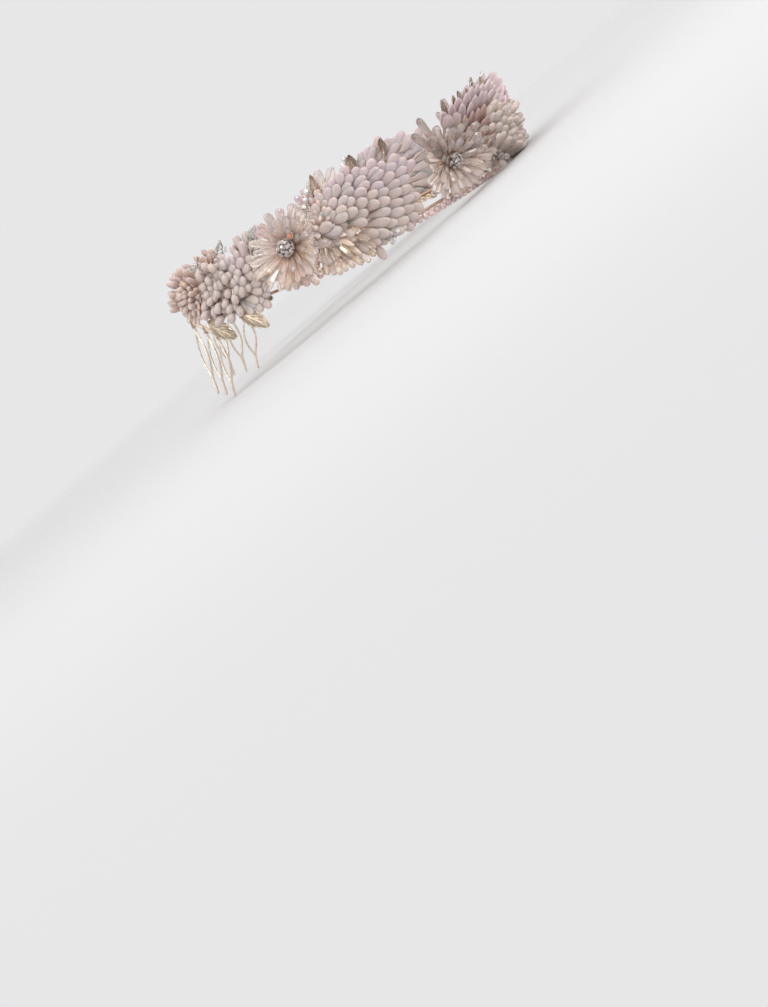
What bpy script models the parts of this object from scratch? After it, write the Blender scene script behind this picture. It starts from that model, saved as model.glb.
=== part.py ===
"""Crystal tiara: a wired band of frosted petals, crystal flowers, small beads and gold leaves over a cup chain,
with a three-tooth wire comb under each end. It rests on the front of its cup chain and on its combs' tips.

Units in the tables are millimetres and degrees. +Z is up, the front of the tiara faces -Y.

The band is a wall whose rulings all lean towards the front by LEAN. It unrolls flat, so a place on it is given by
  along   distance round the wall from the front centre, towards the wearer's right,
  height  distance up the rulings, from the level where the rulings' own zero lies at the middle of the ring,
  out     distance outwards, square to the wall.
Directions on the wall are angles: 0 points forwards along it, 90 up the rulings, 180 to the back.
"""

import math

import bmesh
import bpy
from mathutils import Matrix, Vector

MM = 0.001

# ---------------------------------------------------------------- ring
HALF_LENGTH = 82.0          # front to middle of the ring
HALF_WIDTH = 72.0
LEAN = math.radians(38.0)   # of the rulings, towards the front
FLAT_DEG = 16.0             # the lower edge lies flat this far round from the front
RISE = 50.0                 # rise of the lower edge over the next 160 degrees
RISE_POWER = 1.45
CENTRE_Y = 7.8              # puts the origin under the middle of the whole

# ---------------------------------------------------------------- wires and chain
BAND_DEG = 166.0            # the headband ends here, each side
BAND_WIRE = 1.0             # radius
BAND_UP = 4.2               # above the lower edge
BAND_OUT = -1.7
CHAIN_DEG = 100.0
CHAIN_WIDE = 2.6
CHAIN_TALL = 2.4
CHAIN_OUT = 0.9
STEM_OUT = -1.0
STEM_WIRE = 0.55
VINE_OUT = 1.1
VINE_WIRE = 0.6

# ---------------------------------------------------------------- flowers
# name: along, height, petals, their reach upwards and downwards, their tilt outwards upwards and downwards
FLOWERS = {
    "side": (135.5, 25.6, 11, 19.5, 18.5, 20.0, 16.0),
    "front": (57.8, 61.0, 11, 19.0, 18.0, 20.0, 14.0),
    "brow": (26.5, 60.0, 8, 11.5, 7.5, 20.0, 2.0),
}
HUB_RADIUS = 4.0
HUB_OUT = 1.6
HUB_THICK = 1.8
PAVE_RADIUS = {"side": 4.6, "front": 3.8, "brow": 2.6}

# ---------------------------------------------------------------- sprays
# name: (along, height) of the knot, along of the foot, then a row for each spoke: distance of its root in front of
# the knot, direction, length, and how far outwards it has risen at its end
SPRAYS = {
    "side": ((113.0, 31.0), 110.0, (
        (0, 97, 22, 0), (0, 77, 32, 0), (0, 57, 41, 0), (0, 38, 46, 0), (0, 19, 43, 0),
        (0, 0, 35, 3.4), (0, -28, 25, 3.2))),
    "back": ((186.0, -1.5), 186.0, (
        (0, 70, 20, 0), (0, 50, 41, 0), (0, 28, 37, 0), (0, 6, 37, 0), (0, -38, 15, 0))),
    "crest": ((41.0, 75.5), 41.5, (
        (-14, 118, 13, 0), (0, 102, 20, 0), (2, 78, 22, 0), (10, 86, 21, 0), (18, 86, 20, 0),
        (26, 82, 16, 0), (33, 76, 12, 0))),
    "brow": ((11.5, 61.5), 11.5, (
        (0, 122, 12.5, 0), (0, 86, 13, 0), (0, 46, 11, 0), (0, -42, 10, 1.5))),
}
VINES = {"crest": (-14.0, 33.0)}    # a level wire that carries the roots, behind and in front of the knot
PETAL = {"side": (9.6, 4.7, 2.6), "back": (9.2, 4.7, 2.6), "crest": (9.2, 4.4, 2.4),
         "brow": (9.2, 4.6, 2.4)}  # length, width, thickness
PETAL_STEP = 11.5
PETAL_SPREAD = 24.0
PETAL_TILT = 15.0

# ---------------------------------------------------------------- clusters of small petals and beads
# name: knot, foot, bead length, width, tilt, then spokes as above
CLUSTERS = {
    "side": ((121.5, 33.0), 123.5, (5.4, 3.8), 35.0, (
        (0, 100, 17, 0), (0, -80, 15, 0))),
    "end": ((206.0, -2.5), 206.0, (5.8, 4.6), 55.0, (
        (0, 178, 17, 0), (0, 130, 13, 0), (0, 80, 12, 0), (0, 20, 11, 0), (0, -130, 10, 0))),
}
BEAD_STEP = 5.4

# ---------------------------------------------------------------- leaves
# name: along and height of the root, direction, length, width, out, along of the foot
LEAVES = {
    "end": (190.5, -13.4, -13, 25.0, 8.0, 1.2, None),
    "low": (168.0, -4.4, -21, 22.0, 8.0, 0.6, None),
    "filigree": (199.5, 4.6, 99, 12.0, 6.5, -1.3, 199.5),
    "rear": (180.5, 9.5, 84, 12.5, 6.5, -1.3, 180.5),
    "side": (121.0, 43.5, 107, 14.0, 5.0, -1.3, 117.5),
    "mid": (106.5, 52.5, 95, 12.5, 5.0, -1.3, 105.0),
    "peak_a": (56.0, 78.5, 103, 11.5, 4.4, -1.3, 52.5),
    "peak_b": (49.5, 81.0, 97, 11.0, 4.4, -1.3, 47.0),
    "crest": (36.0, 84.0, 88, 13.0, 4.8, -1.3, 35.5),
}
LEAF_CENTRE = (0.0, 70.0, 90, 16.0, 7.0, -1.3, 0.0)
LEAF_THICK = 0.8

# ---------------------------------------------------------------- comb, on the wearer's right
COMB_TEETH = 3
COMB_TOP = (Vector((-22.0, 80.2, 41.6)), Vector((-39.4, 70.2, 29.4)))   # first and last tooth, at the bar
COMB_TIP = (Vector((-25.0, 93.3, 6.1)), Vector((-38.0, 84.4, 0.4)))
COMB_WIRE = 0.52
COMB_BOW = 3.5              # half the width of a tooth's eye
COMB_SPLIT = (0.16, 0.76)   # a tooth's two wires part and meet here, as parts of its length
COMB_BAR = (2.6, 1.2)       # width and thickness of the flat bar
COMB_BAR_OVERHANG = 4.5
COMB_POSTS = (0.12, 0.88)   # places along the bar of the two posts that reach up to the headband
COMB_POST_WIRE = 0.75


# ================================================================ the wall
def rise(deg):
    return RISE * (max(0.0, abs(deg) - FLAT_DEG) / 160.0) ** RISE_POWER


def base(deg):
    p = math.radians(deg)
    return Vector((-HALF_WIDTH * math.sin(p), -HALF_LENGTH * math.cos(p), rise(deg)))


UP = Vector((0.0, -math.sin(LEAN), math.cos(LEAN)))


def make_girth():
    """Distance round the wall, square to the rulings, at every half degree."""
    degs = [i * 0.5 for i in range(-360, 361)]
    girth = [0.0]
    for a, b in zip(degs, degs[1:]):
        d = base(b) - base(a)
        girth.append(girth[-1] + (d - UP * d.dot(UP)).length)
    middle = girth[360]
    return degs, [g - middle for g in girth]


DEGS, GIRTH = make_girth()


def deg_at(along):
    lo, hi = 0, len(GIRTH) - 1
    while hi - lo > 1:
        mid = (lo + hi) // 2
        if GIRTH[mid] <= along:
            lo = mid
        else:
            hi = mid
    f = (along - GIRTH[lo]) / (GIRTH[hi] - GIRTH[lo])
    return DEGS[lo] + f * (DEGS[hi] - DEGS[lo])


def frame_at(deg):
    """Forward, up and outward directions on the wall."""
    t = base(deg - 0.25) - base(deg + 0.25)
    e = (t - UP * t.dot(UP)).normalized()
    return e, UP, e.cross(UP)


def wall(along, height, out=0.0):
    deg = deg_at(along)
    c = base(deg)
    e, d, n = frame_at(deg)
    return c + d * (height - c.dot(UP)) + n * out


def band_point(deg):
    e, d, n = frame_at(deg)
    return base(deg) + d * BAND_UP + n * BAND_OUT


def edge_height(along):
    return base(deg_at(along)).dot(UP)


def aim(along, angle, tilt):
    """Direction on the wall at an angle, tilted outwards, and the normal that goes with it."""
    e, d, n = frame_at(deg_at(along))
    a, t = math.radians(angle), math.radians(tilt)
    flat = e * math.cos(a) + d * math.sin(a)
    return (flat * math.cos(t) + n * math.sin(t)).normalized(), (n * math.cos(t) - flat * math.sin(t)).normalized()


# ================================================================ building blocks
def clear_scene():
    for obj in list(bpy.data.objects):
        bpy.data.objects.remove(obj, do_unlink=True)


def collection(name):
    coll = bpy.data.collections.new(name)
    bpy.context.scene.collection.children.link(coll)
    return coll


def finish_mesh(bm, name):
    bmesh.ops.scale(bm, vec=(MM, MM, MM), verts=bm.verts)
    bmesh.ops.translate(bm, vec=(0.0, CENTRE_Y * MM, 0.0), verts=bm.verts)
    mesh = bpy.data.meshes.new(name)
    bm.to_mesh(mesh)
    bm.free()
    return mesh


def add_petal(bm, root, direction, normal, length, width, thick, sides=5, neck=0.62, shoulder=0.76, spin=0.0):
    """A drop: narrow at its root, widest near its tip."""
    side = normal.cross(direction).normalized()
    made = bmesh.ops.create_uvsphere(bm, u_segments=sides, v_segments=3, radius=1.0)["verts"]
    ring = math.sin(math.pi / 3)
    for v in made:
        x, y, z = v.co
        x, y = x / ring, y / ring
        c, s = math.cos(spin), math.sin(spin)
        x, y = x * c - y * s, x * s + y * c
        if z < -0.9:
            along, f = 0.0, 0.0
        elif z < 0.0:
            along, f = 0.24 * length, neck
        elif z < 0.9:
            along, f = shoulder * length, 1.0
        else:
            along, f = length, 0.0
        if f == 0.0:
            x = y = 0.0
        v.co = root + direction * along + side * (x * f * width / 2) + normal * (y * f * thick / 2)


def add_bead(bm, root, direction, length, width, sides=5):
    normal = direction.orthogonal().normalized()
    add_petal(bm, root, direction, normal, length, width, width, sides, neck=0.8, shoulder=0.7)


def add_tube(bm, points, radius, resolution=0):
    """A wire along the points, with filled caps."""
    curve = bpy.data.curves.new("wire", "CURVE")
    curve.dimensions = "3D"
    curve.bevel_depth = radius
    curve.bevel_resolution = resolution
    curve.use_fill_caps = True
    spline = curve.splines.new("POLY")
    spline.points.add(len(points) - 1)
    for p, co in zip(spline.points, points):
        p.co = (co.x, co.y, co.z, 1.0)
    obj = bpy.data.objects.new("wire", curve)
    bpy.context.scene.collection.objects.link(obj)
    bpy.context.view_layer.update()
    mesh = bpy.data.meshes.new_from_object(obj.evaluated_get(bpy.context.evaluated_depsgraph_get()))
    before = set(bm.verts)
    bm.from_mesh(mesh)
    fresh = [v for v in bm.verts if v not in before]
    bmesh.ops.remove_doubles(bm, verts=fresh, dist=0.0001)
    bpy.data.objects.remove(obj, do_unlink=True)
    bpy.data.curves.remove(curve)
    bpy.data.meshes.remove(mesh)


def add_disc(bm, centre, normal, radius, thick, sides=10):
    matrix = Matrix.Translation(centre) @ normal.to_track_quat("Z", "Y").to_matrix().to_4x4()
    bmesh.ops.create_cone(bm, cap_ends=True, segments=sides, radius1=radius, radius2=radius, depth=thick, matrix=matrix)


def material(name, colour, rough, metallic=0.0, transmission=0.0):
    mat = bpy.data.materials.new(name)
    mat.use_nodes = True
    shader = mat.node_tree.nodes["Principled BSDF"]
    shader.inputs["Base Color"].default_value = (*colour, 1.0)
    shader.inputs["Roughness"].default_value = rough
    shader.inputs["Metallic"].default_value = metallic
    shader.inputs["Transmission Weight"].default_value = transmission
    return mat


LOOKS = {
    "frosted": ((0.80, 0.68, 0.66), 0.45, 0.0, 0.1),
    "crystal": ((0.88, 0.62, 0.50), 0.12, 0.0, 0.5),
    "pave": ((0.72, 0.70, 0.72), 0.15, 0.6, 0.0),
    "pearl": ((0.86, 0.64, 0.52), 0.25, 0.0, 0.0),
    "gold": ((0.80, 0.66, 0.46), 0.35, 1.0, 0.0),
    "rose": ((0.78, 0.50, 0.55), 0.15, 0.3, 0.2),
}


def piece(name, mesh, look, coll, smooth_deg=40.0):
    obj = bpy.data.objects.new(name, mesh)
    colour, rough, metallic, transmission = LOOKS[look]
    mesh.materials.append(material(name + "_" + look, colour, rough, metallic, transmission))
    mesh.shade_smooth()
    mesh.set_sharp_from_angle(angle=math.radians(smooth_deg))
    coll.objects.link(obj)
    return obj


def joined(obj, core_mesh, cutters):
    """Unites the piece's bodies with each other and with their core."""
    core = bpy.data.objects.new(obj.name + "_core", core_mesh)
    core.hide_render = True
    core.display_type = "WIRE"
    cutters.objects.link(core)
    mod = obj.modifiers.new("Union", "BOOLEAN")
    mod.operation = "UNION"
    mod.solver = "EXACT"
    mod.use_self = True
    mod.object = core
    return obj


def mirrored(obj, name, look, coll):
    """The same piece on the wearer's left."""
    bpy.context.view_layer.update()
    mesh = bpy.data.meshes.new_from_object(obj.evaluated_get(bpy.context.evaluated_depsgraph_get()))
    mesh.transform(Matrix.Diagonal((-1.0, 1.0, 1.0, 1.0)))
    mesh.flip_normals()
    mesh.materials.clear()
    mesh.name = name
    return piece(name, mesh, look, coll)


# ================================================================ the pieces
def build_headband(coll):
    bm = bmesh.new()
    count = 38
    points = [band_point(-BAND_DEG + 2 * BAND_DEG * i / count) for i in range(count + 1)]
    add_tube(bm, points, BAND_WIRE, 1)
    return piece("headband", finish_mesh(bm, "headband"), "gold", coll, 60.0)


def build_chain(coll, cutters):
    """A strip of rectangular section: its underside is level at the front, where the tiara rests."""
    profile = bpy.data.curves.new("chain_profile", "CURVE")
    profile.dimensions = "2D"
    spline = profile.splines.new("POLY")
    spline.points.add(3)
    for p, (x, y) in zip(spline.points, ((-1, -1), (1, -1), (1, 1), (-1, 1))):
        p.co = (x * CHAIN_WIDE / 2, y * CHAIN_TALL / 2, 0.0, 1.0)
    spline.use_cyclic_u = True
    profile_obj = bpy.data.objects.new("chain_profile", profile)
    profile_obj.hide_render = True
    profile_obj.display_type = "WIRE"
    cutters.objects.link(profile_obj)

    curve = bpy.data.curves.new("cup_chain_path", "CURVE")
    curve.dimensions = "3D"
    curve.twist_mode = "Z_UP"
    curve.bevel_mode = "OBJECT"
    curve.bevel_object = profile_obj
    curve.use_fill_caps = True
    count = 34
    path = curve.splines.new("POLY")
    path.points.add(count)
    for i, p in enumerate(path.points):
        deg = -CHAIN_DEG + 2 * CHAIN_DEG * i / count
        a = math.radians(deg)
        outward = Vector((-math.sin(a) / HALF_WIDTH, -math.cos(a) / HALF_LENGTH, 0.0)).normalized()
        co = base(deg) + outward * CHAIN_OUT + Vector((0.0, 0.0, CHAIN_TALL / 2))
        p.co = (co.x, co.y, co.z, 1.0)
    path_obj = bpy.data.objects.new("cup_chain_path", curve)
    bpy.context.scene.collection.objects.link(path_obj)
    bpy.context.view_layer.update()
    mesh = bpy.data.meshes.new_from_object(path_obj.evaluated_get(bpy.context.evaluated_depsgraph_get()))
    bm = bmesh.new()
    bm.from_mesh(mesh)
    bmesh.ops.remove_doubles(bm, verts=bm.verts, dist=0.0001)
    bmesh.ops.recalc_face_normals(bm, faces=bm.faces)
    bpy.data.objects.remove(path_obj, do_unlink=True)
    bpy.data.curves.remove(curve)
    bpy.data.meshes.remove(mesh)
    return piece("cup_chain", finish_mesh(bm, "cup_chain"), "rose", coll, 30.0)


def stem_points(along, height, foot, out=VINE_OUT):
    """From a knot on the outside of the wall, inwards and down to just above the headband."""
    end = edge_height(foot) + BAND_UP + BAND_WIRE + 0.4 + STEM_WIRE
    drop = height - end
    if drop < 3.0:
        return [wall(along, height, out), wall(along, height, 0.4)]
    return [
        wall(along, height + 0.4, out),
        wall(along, height - min(2.0, drop * 0.3), 0.0),
        wall(along + (foot - along) * 0.35, height - max(3.5, drop * 0.4), STEM_OUT),
        wall(foot, end, STEM_OUT),
    ]


def build_flower(name, coll, cutters):
    along, height, count, reach_up, reach_down, tilt_up, tilt_down = FLOWERS[name]
    centre = wall(along, height, HUB_OUT + HUB_THICK / 2)
    e, d, n = frame_at(deg_at(along))
    small = reach_up < 15
    hub = HUB_RADIUS * (0.75 if small else 1.0)
    bm = bmesh.new()
    for i in range(count):
        angle = 360.0 * i / count + 7.0
        up = 0.5 + 0.5 * math.sin(math.radians(angle))
        reach = reach_down + (reach_up - reach_down) * up
        tilt = tilt_down + (tilt_up - tilt_down) * up + (5.0 if i % 2 else 0.0) * (0.0 if small else 1.0)
        direction, normal = aim(along, angle, tilt)
        a = math.radians(angle)
        root = centre + (e * math.cos(a) + d * math.sin(a)) * (hub - 1.6) + n * (0.15 + 0.1 * (i % 3))
        wide = 4.0 if small else 5.0
        add_petal(bm, root, direction, normal, (reach - hub + 1.6) / math.cos(math.radians(tilt)), wide, 2.8,
                  sides=5, neck=0.66, shoulder=0.8, spin=0.06)
    obj = piece("flower_" + name + "_r", finish_mesh(bm, "flower_" + name), "crystal", coll)
    core = bmesh.new()
    add_disc(core, centre, n, hub, HUB_THICK)
    if name == "brow":
        foot = [centre - n * 0.3, wall(along, height - 2.0, 0.2)]
    else:
        foot = [centre - n * 0.3] + stem_points(along, height, along, 0.6)[1:]
    add_tube(core, foot, STEM_WIRE + 0.1, 0)
    joined(obj, finish_mesh(core, "core"), cutters)
    mirrored(obj, "flower_" + name + "_l", "crystal", coll)


def build_pave(name, coll):
    along, height = FLOWERS[name][:2]
    radius = PAVE_RADIUS[name]
    n = frame_at(deg_at(along))[2]
    centre = wall(along, height, HUB_OUT + HUB_THICK + 1.6 + radius)
    bm = bmesh.new()
    made = bmesh.ops.create_uvsphere(bm, u_segments=8, v_segments=6, radius=radius)["verts"]
    turn = n.to_track_quat("Z", "Y").to_matrix().to_4x4()
    bmesh.ops.transform(bm, matrix=Matrix.Translation(centre) @ turn @ Matrix.Diagonal((1, 1, 0.8, 1)), verts=made)
    obj = piece("pave_" + name + "_r", finish_mesh(bm, "pave_" + name), "pave", coll, 60.0)
    mirrored(obj, "pave_" + name + "_l", "pave", coll)


def spoke_place(root_along, root_height, angle, t):
    a = math.radians(angle)
    return root_along - t * math.cos(a), root_height + t * math.sin(a)


def spoke_points(root_along, root_height, angle, length, out, lift):
    steps = max(1, round(length / 13.0))
    return [
        wall(*spoke_place(root_along, root_height, angle, length * i / steps), out + lift * (i / steps) ** 2)
        for i in range(steps + 1)
    ]


def build_spray(name, coll, cutters):
    (along, height), foot, spokes = SPRAYS[name]
    length, width, thick = PETAL[name]
    bm = bmesh.new()
    core = bmesh.new()
    add_tube(core, stem_points(along, height, foot), STEM_WIRE, 0)
    if name in VINES:
        back, front = VINES[name]
        points = [wall(along - back - (front - back) * i / 5, height, VINE_OUT) for i in range(6)]
        add_tube(core, points, VINE_WIRE * 1.1, 0)
    for number, (ahead, angle, reach, lift) in enumerate(spokes):
        a0 = along - ahead
        out = VINE_OUT + 0.07 * (number % 3)
        stalk = reach - length + 1.5
        add_tube(core, spoke_points(a0, height, angle, stalk, out, lift), VINE_WIRE, 0)
        t, j = stalk - 0.8, 0
        while t > 3.0:
            place = spoke_place(a0, height, angle, t)
            turn = 0.0 if j == 0 else PETAL_SPREAD * (1 if (j + number) % 2 else -1)
            direction, normal = aim(place[0], angle + turn, PETAL_TILT - (7.0 if j == 0 else 0.0))
            root = wall(*place, out + lift * (t / stalk) ** 2)
            add_petal(bm, root, direction, normal, length, width, thick, sides=4, spin=0.1)
            t -= PETAL_STEP * (0.8 if j == 0 else 1.0)
            j += 1
    obj = piece("spray_" + name + "_r", finish_mesh(bm, "spray_" + name), "frosted", coll)
    joined(obj, finish_mesh(core, "core"), cutters)
    mirrored(obj, "spray_" + name + "_l", "frosted", coll)


def build_cluster(name, coll, cutters):
    (along, height), foot, (length, width), tilt, spokes = CLUSTERS[name]
    bm = bmesh.new()
    core = bmesh.new()
    add_tube(core, stem_points(along, height, foot), STEM_WIRE, 0)
    for number, (ahead, angle, reach, lift) in enumerate(spokes):
        a0 = along - ahead
        out = VINE_OUT + 0.07 * (number % 3)
        stalk = reach - length * 0.5
        add_tube(core, spoke_points(a0, height, angle, stalk, out, lift), VINE_WIRE, 0)
        t, j = stalk - 0.6, 0
        while t > 2.5:
            place = spoke_place(a0, height, angle, t)
            turn = 0.0 if j == 0 else 55.0 * (1 if (j + number) % 2 else -1)
            direction = aim(place[0], angle + turn, tilt * (0.6 if j == 0 else 1.0))[0]
            add_bead(bm, wall(*place, out + lift * (t / stalk) ** 2), direction, length, width)
            t -= BEAD_STEP
            j += 1
    obj = piece("cluster_" + name + "_r", finish_mesh(bm, "cluster_" + name), "pearl", coll)
    joined(obj, finish_mesh(core, "core"), cutters)
    mirrored(obj, "cluster_" + name + "_l", "pearl", coll)


def leaf_bodies(along, height, angle, length, width, out, foot):
    """A thin blade, bent a little outwards towards its tip, and its stem."""
    direction, normal = aim(along, angle, 5.0)
    root = wall(along, height, out)
    bm = bmesh.new()
    add_petal(bm, root - direction * 0.5, direction, normal, length, width, LEAF_THICK * 2.0,
              sides=6, neck=0.85, shoulder=0.6, spin=0.0)
    core = bmesh.new()
    if foot is None:
        points = [root + direction * (length * 0.5), root + direction * 1.0]
    else:
        end = edge_height(foot) + BAND_UP + BAND_WIRE + 0.4 + STEM_WIRE
        points = [
            root + direction * (length * 0.5),
            root + direction * 1.0,
            wall(along + (foot - along) * 0.5, height + (end - height) * 0.4, STEM_OUT - 0.3),
            wall(foot, end, STEM_OUT - 0.3),
        ]
    add_tube(core, points, STEM_WIRE * 0.9, 0)
    return bm, core


def build_leaf(name, coll, cutters):
    bm, core = leaf_bodies(*LEAVES[name])
    obj = piece("leaf_" + name + "_r", finish_mesh(bm, "leaf_" + name), "gold", coll)
    joined(obj, finish_mesh(core, "core"), cutters)
    mirrored(obj, "leaf_" + name + "_l", "gold", coll)


def build_centre_leaf(coll, cutters):
    bm, core = leaf_bodies(*LEAF_CENTRE)
    obj = piece("leaf_centre", finish_mesh(bm, "leaf_centre"), "gold", coll)
    joined(obj, finish_mesh(core, "core"), cutters)


def build_comb(coll, cutters):
    """Three teeth on a flat bar: each is two wires that part below the bar, bow out and meet in one tip."""
    bar_line = (COMB_TOP[1] - COMB_TOP[0]).normalized()
    down = ((COMB_TIP[0] + COMB_TIP[1]) - (COMB_TOP[0] + COMB_TOP[1])).normalized()
    face = bar_line.cross(down).normalized()
    upright = face.cross(bar_line).normalized()
    bm = bmesh.new()
    for i in range(COMB_TEETH):
        f = i / (COMB_TEETH - 1)
        top = COMB_TOP[0].lerp(COMB_TOP[1], f)
        tip = COMB_TIP[0].lerp(COMB_TIP[1], f)
        along = tip - top
        wide = (bar_line - along.normalized() * bar_line.dot(along.normalized())).normalized()
        start, meet = COMB_SPLIT
        for sign in (-1, 1):
            points = []
            for t in (start - 0.02, start + 0.06, 0.32, 0.46, 0.6, meet + 0.02):
                s = min(1.0, max(0.0, (t - start) / (meet - start)))
                points.append(top + along * t + wide * (sign * COMB_BOW * math.sin(math.pi * s) ** 0.8))
            add_tube(bm, points, COMB_WIRE, 0)
    obj = piece("comb_r", finish_mesh(bm, "comb"), "gold", coll)
    core = bmesh.new()
    for i in range(COMB_TEETH):
        f = i / (COMB_TEETH - 1)
        top = COMB_TOP[0].lerp(COMB_TOP[1], f)
        tip = COMB_TIP[0].lerp(COMB_TIP[1], f)
        along = tip - top
        add_tube(core, [top + along * 0.01, top + along * (COMB_SPLIT[0] + 0.01)], COMB_WIRE * 1.3, 0)
        add_tube(core, [top + along * (COMB_SPLIT[1] - 0.01), top + along * 0.9, tip], COMB_WIRE * 1.5, 0)
    length = (COMB_TOP[1] - COMB_TOP[0]).length + 2 * COMB_BAR_OVERHANG
    middle = (COMB_TOP[0] + COMB_TOP[1]) / 2
    turn = Matrix((bar_line, upright, face)).transposed().to_4x4()
    scale = Matrix.Diagonal((length, COMB_BAR[0], COMB_BAR[1], 1.0))
    bmesh.ops.create_cube(core, size=1.0, matrix=Matrix.Translation(middle) @ turn @ scale)
    for f in COMB_POSTS:
        low = COMB_TOP[0].lerp(COMB_TOP[1], f)
        band = min((band_point(0.5 * i) for i in range(240, int(2 * BAND_DEG))), key=lambda q: (q - low).length)
        high = band + (low - band).normalized() * (BAND_WIRE + 0.4)
        add_tube(core, [low, high], COMB_POST_WIRE, 0)
    joined(obj, finish_mesh(core, "core"), cutters)
    mirrored(obj, "comb_l", "gold", coll)


def main():
    clear_scene()
    coll = collection("crystal_tiara")
    cutters = collection("cutters")
    build_headband(coll)
    build_chain(coll, cutters)
    for name in FLOWERS:
        build_flower(name, coll, cutters)
        build_pave(name, coll)
    for name in SPRAYS:
        build_spray(name, coll, cutters)
    for name in CLUSTERS:
        build_cluster(name, coll, cutters)
    for name in LEAVES:
        build_leaf(name, coll, cutters)
    build_centre_leaf(coll, cutters)
    build_comb(coll, cutters)


main()
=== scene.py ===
import math

import bpy
import numpy as np
from mathutils import Matrix, Vector


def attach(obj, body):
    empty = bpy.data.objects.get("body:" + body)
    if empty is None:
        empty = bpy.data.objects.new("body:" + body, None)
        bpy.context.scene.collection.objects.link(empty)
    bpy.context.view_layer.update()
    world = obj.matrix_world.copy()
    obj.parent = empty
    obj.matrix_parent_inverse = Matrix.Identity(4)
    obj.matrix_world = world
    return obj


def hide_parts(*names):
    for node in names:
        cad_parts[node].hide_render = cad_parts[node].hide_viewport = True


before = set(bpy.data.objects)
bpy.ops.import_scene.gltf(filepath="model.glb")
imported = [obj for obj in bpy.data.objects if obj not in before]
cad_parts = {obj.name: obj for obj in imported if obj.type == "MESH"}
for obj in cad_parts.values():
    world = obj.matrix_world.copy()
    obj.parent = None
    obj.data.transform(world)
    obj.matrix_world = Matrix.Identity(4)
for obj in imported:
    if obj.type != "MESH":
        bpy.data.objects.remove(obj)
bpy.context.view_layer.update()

# Units in the tables are millimetres and degrees, in the CAD's own terms: a place on the leaning wall of the tiara is
# its distance round from the front centre (along), its height up the rulings, and its distance outwards (out).
# Directions on the wall: 0 points forwards, 90 up, 180 to the back.

MM = 0.001
HALF_LENGTH, HALF_WIDTH = 82.0, 72.0
LEAN = math.radians(38.0)
FLAT_DEG, RISE, RISE_POWER = 16.0, 50.0, 1.45
CENTRE_Y = 7.8
BAND_DEG, BAND_WIRE, BAND_UP, BAND_OUT = 166.0, 1.0, 4.2, -1.7
CHAIN_DEG, CHAIN_OUT = 100.0, 0.9
STEM_OUT, STEM_WIRE = -1.0, 0.55
VINE_OUT, VINE_WIRE = 1.1, 0.6
HUB_OUT, HUB_THICK = 1.6, 1.8

UP = np.array([0.0, -math.sin(LEAN), math.cos(LEAN)])


# ================================================================ the wall, as in the CAD
def unit(v):
    return v / math.sqrt(float(v @ v))


def rise(deg):
    return RISE * (max(0.0, abs(deg) - FLAT_DEG) / 160.0) ** RISE_POWER


def base(deg):
    p = math.radians(deg)
    return np.array([-HALF_WIDTH * math.sin(p), -HALF_LENGTH * math.cos(p), rise(deg)])


def make_girth():
    degs = [i * 0.5 for i in range(-360, 361)]
    girth = [0.0]
    for a, b in zip(degs, degs[1:]):
        d = base(b) - base(a)
        d = d - UP * float(d @ UP)
        girth.append(girth[-1] + math.sqrt(float(d @ d)))
    middle = girth[360]
    return np.array(degs), np.array(girth) - middle


DEGS, GIRTH = make_girth()


def deg_at(along):
    return float(np.interp(along, GIRTH, DEGS))


def frame_at(deg):
    t = base(deg - 0.25) - base(deg + 0.25)
    e = unit(t - UP * float(t @ UP))
    return e, UP, np.cross(e, UP)


def wall(along, height, out=0.0):
    deg = deg_at(along)
    c = base(deg)
    e, d, n = frame_at(deg)
    return c + d * (height - float(c @ UP)) + n * out


def edge_height(along):
    return float(base(deg_at(along)) @ UP)


def aim(along, angle, tilt):
    e, d, n = frame_at(deg_at(along))
    a, t = math.radians(angle), math.radians(tilt)
    flat = e * math.cos(a) + d * math.sin(a)
    return unit(flat * math.cos(t) + n * math.sin(t)), unit(n * math.cos(t) - flat * math.sin(t))


def band_point(deg):
    e, d, n = frame_at(deg)
    return base(deg) + d * BAND_UP + n * BAND_OUT


# ================================================================ mesh gathering
class Shape:
    """Gathers the faces of one piece, in millimetres, on the wearer's right."""

    def __init__(self, seed):
        self.rng = np.random.RandomState(seed)
        self.v, self.uv, self.col = [], [], []
        self.q, self.t, self.qm, self.tm, self.qs, self.ts = [], [], [], [], [], []
        self.count = 0

    def add(self, verts, quads, tris, uv, colour, mat=0, smooth=True):
        n = len(verts)
        low = float(np.min(verts[:, 2]))
        if low < 0.12:
            verts = verts + np.array([0.0, 0.0, 0.12 - low])
        self.v.append(verts)
        self.uv.append(uv)
        colour = np.asarray(colour, float)
        self.col.append(np.broadcast_to(colour, (n, 3)) if colour.ndim == 1 else colour)
        for faces, store, mats, smooths, k in (
            (quads, self.q, self.qm, self.qs, 4),
            (tris, self.t, self.tm, self.ts, 3),
        ):
            if len(faces):
                store.append(np.asarray(faces, np.int64).reshape(-1, k) + self.count)
                mats.append(np.full(len(faces), mat))
                smooths.append(np.full(len(faces), smooth))
        self.count += n

    def rand(self, lo, hi):
        return lo + (hi - lo) * self.rng.rand()


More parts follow.
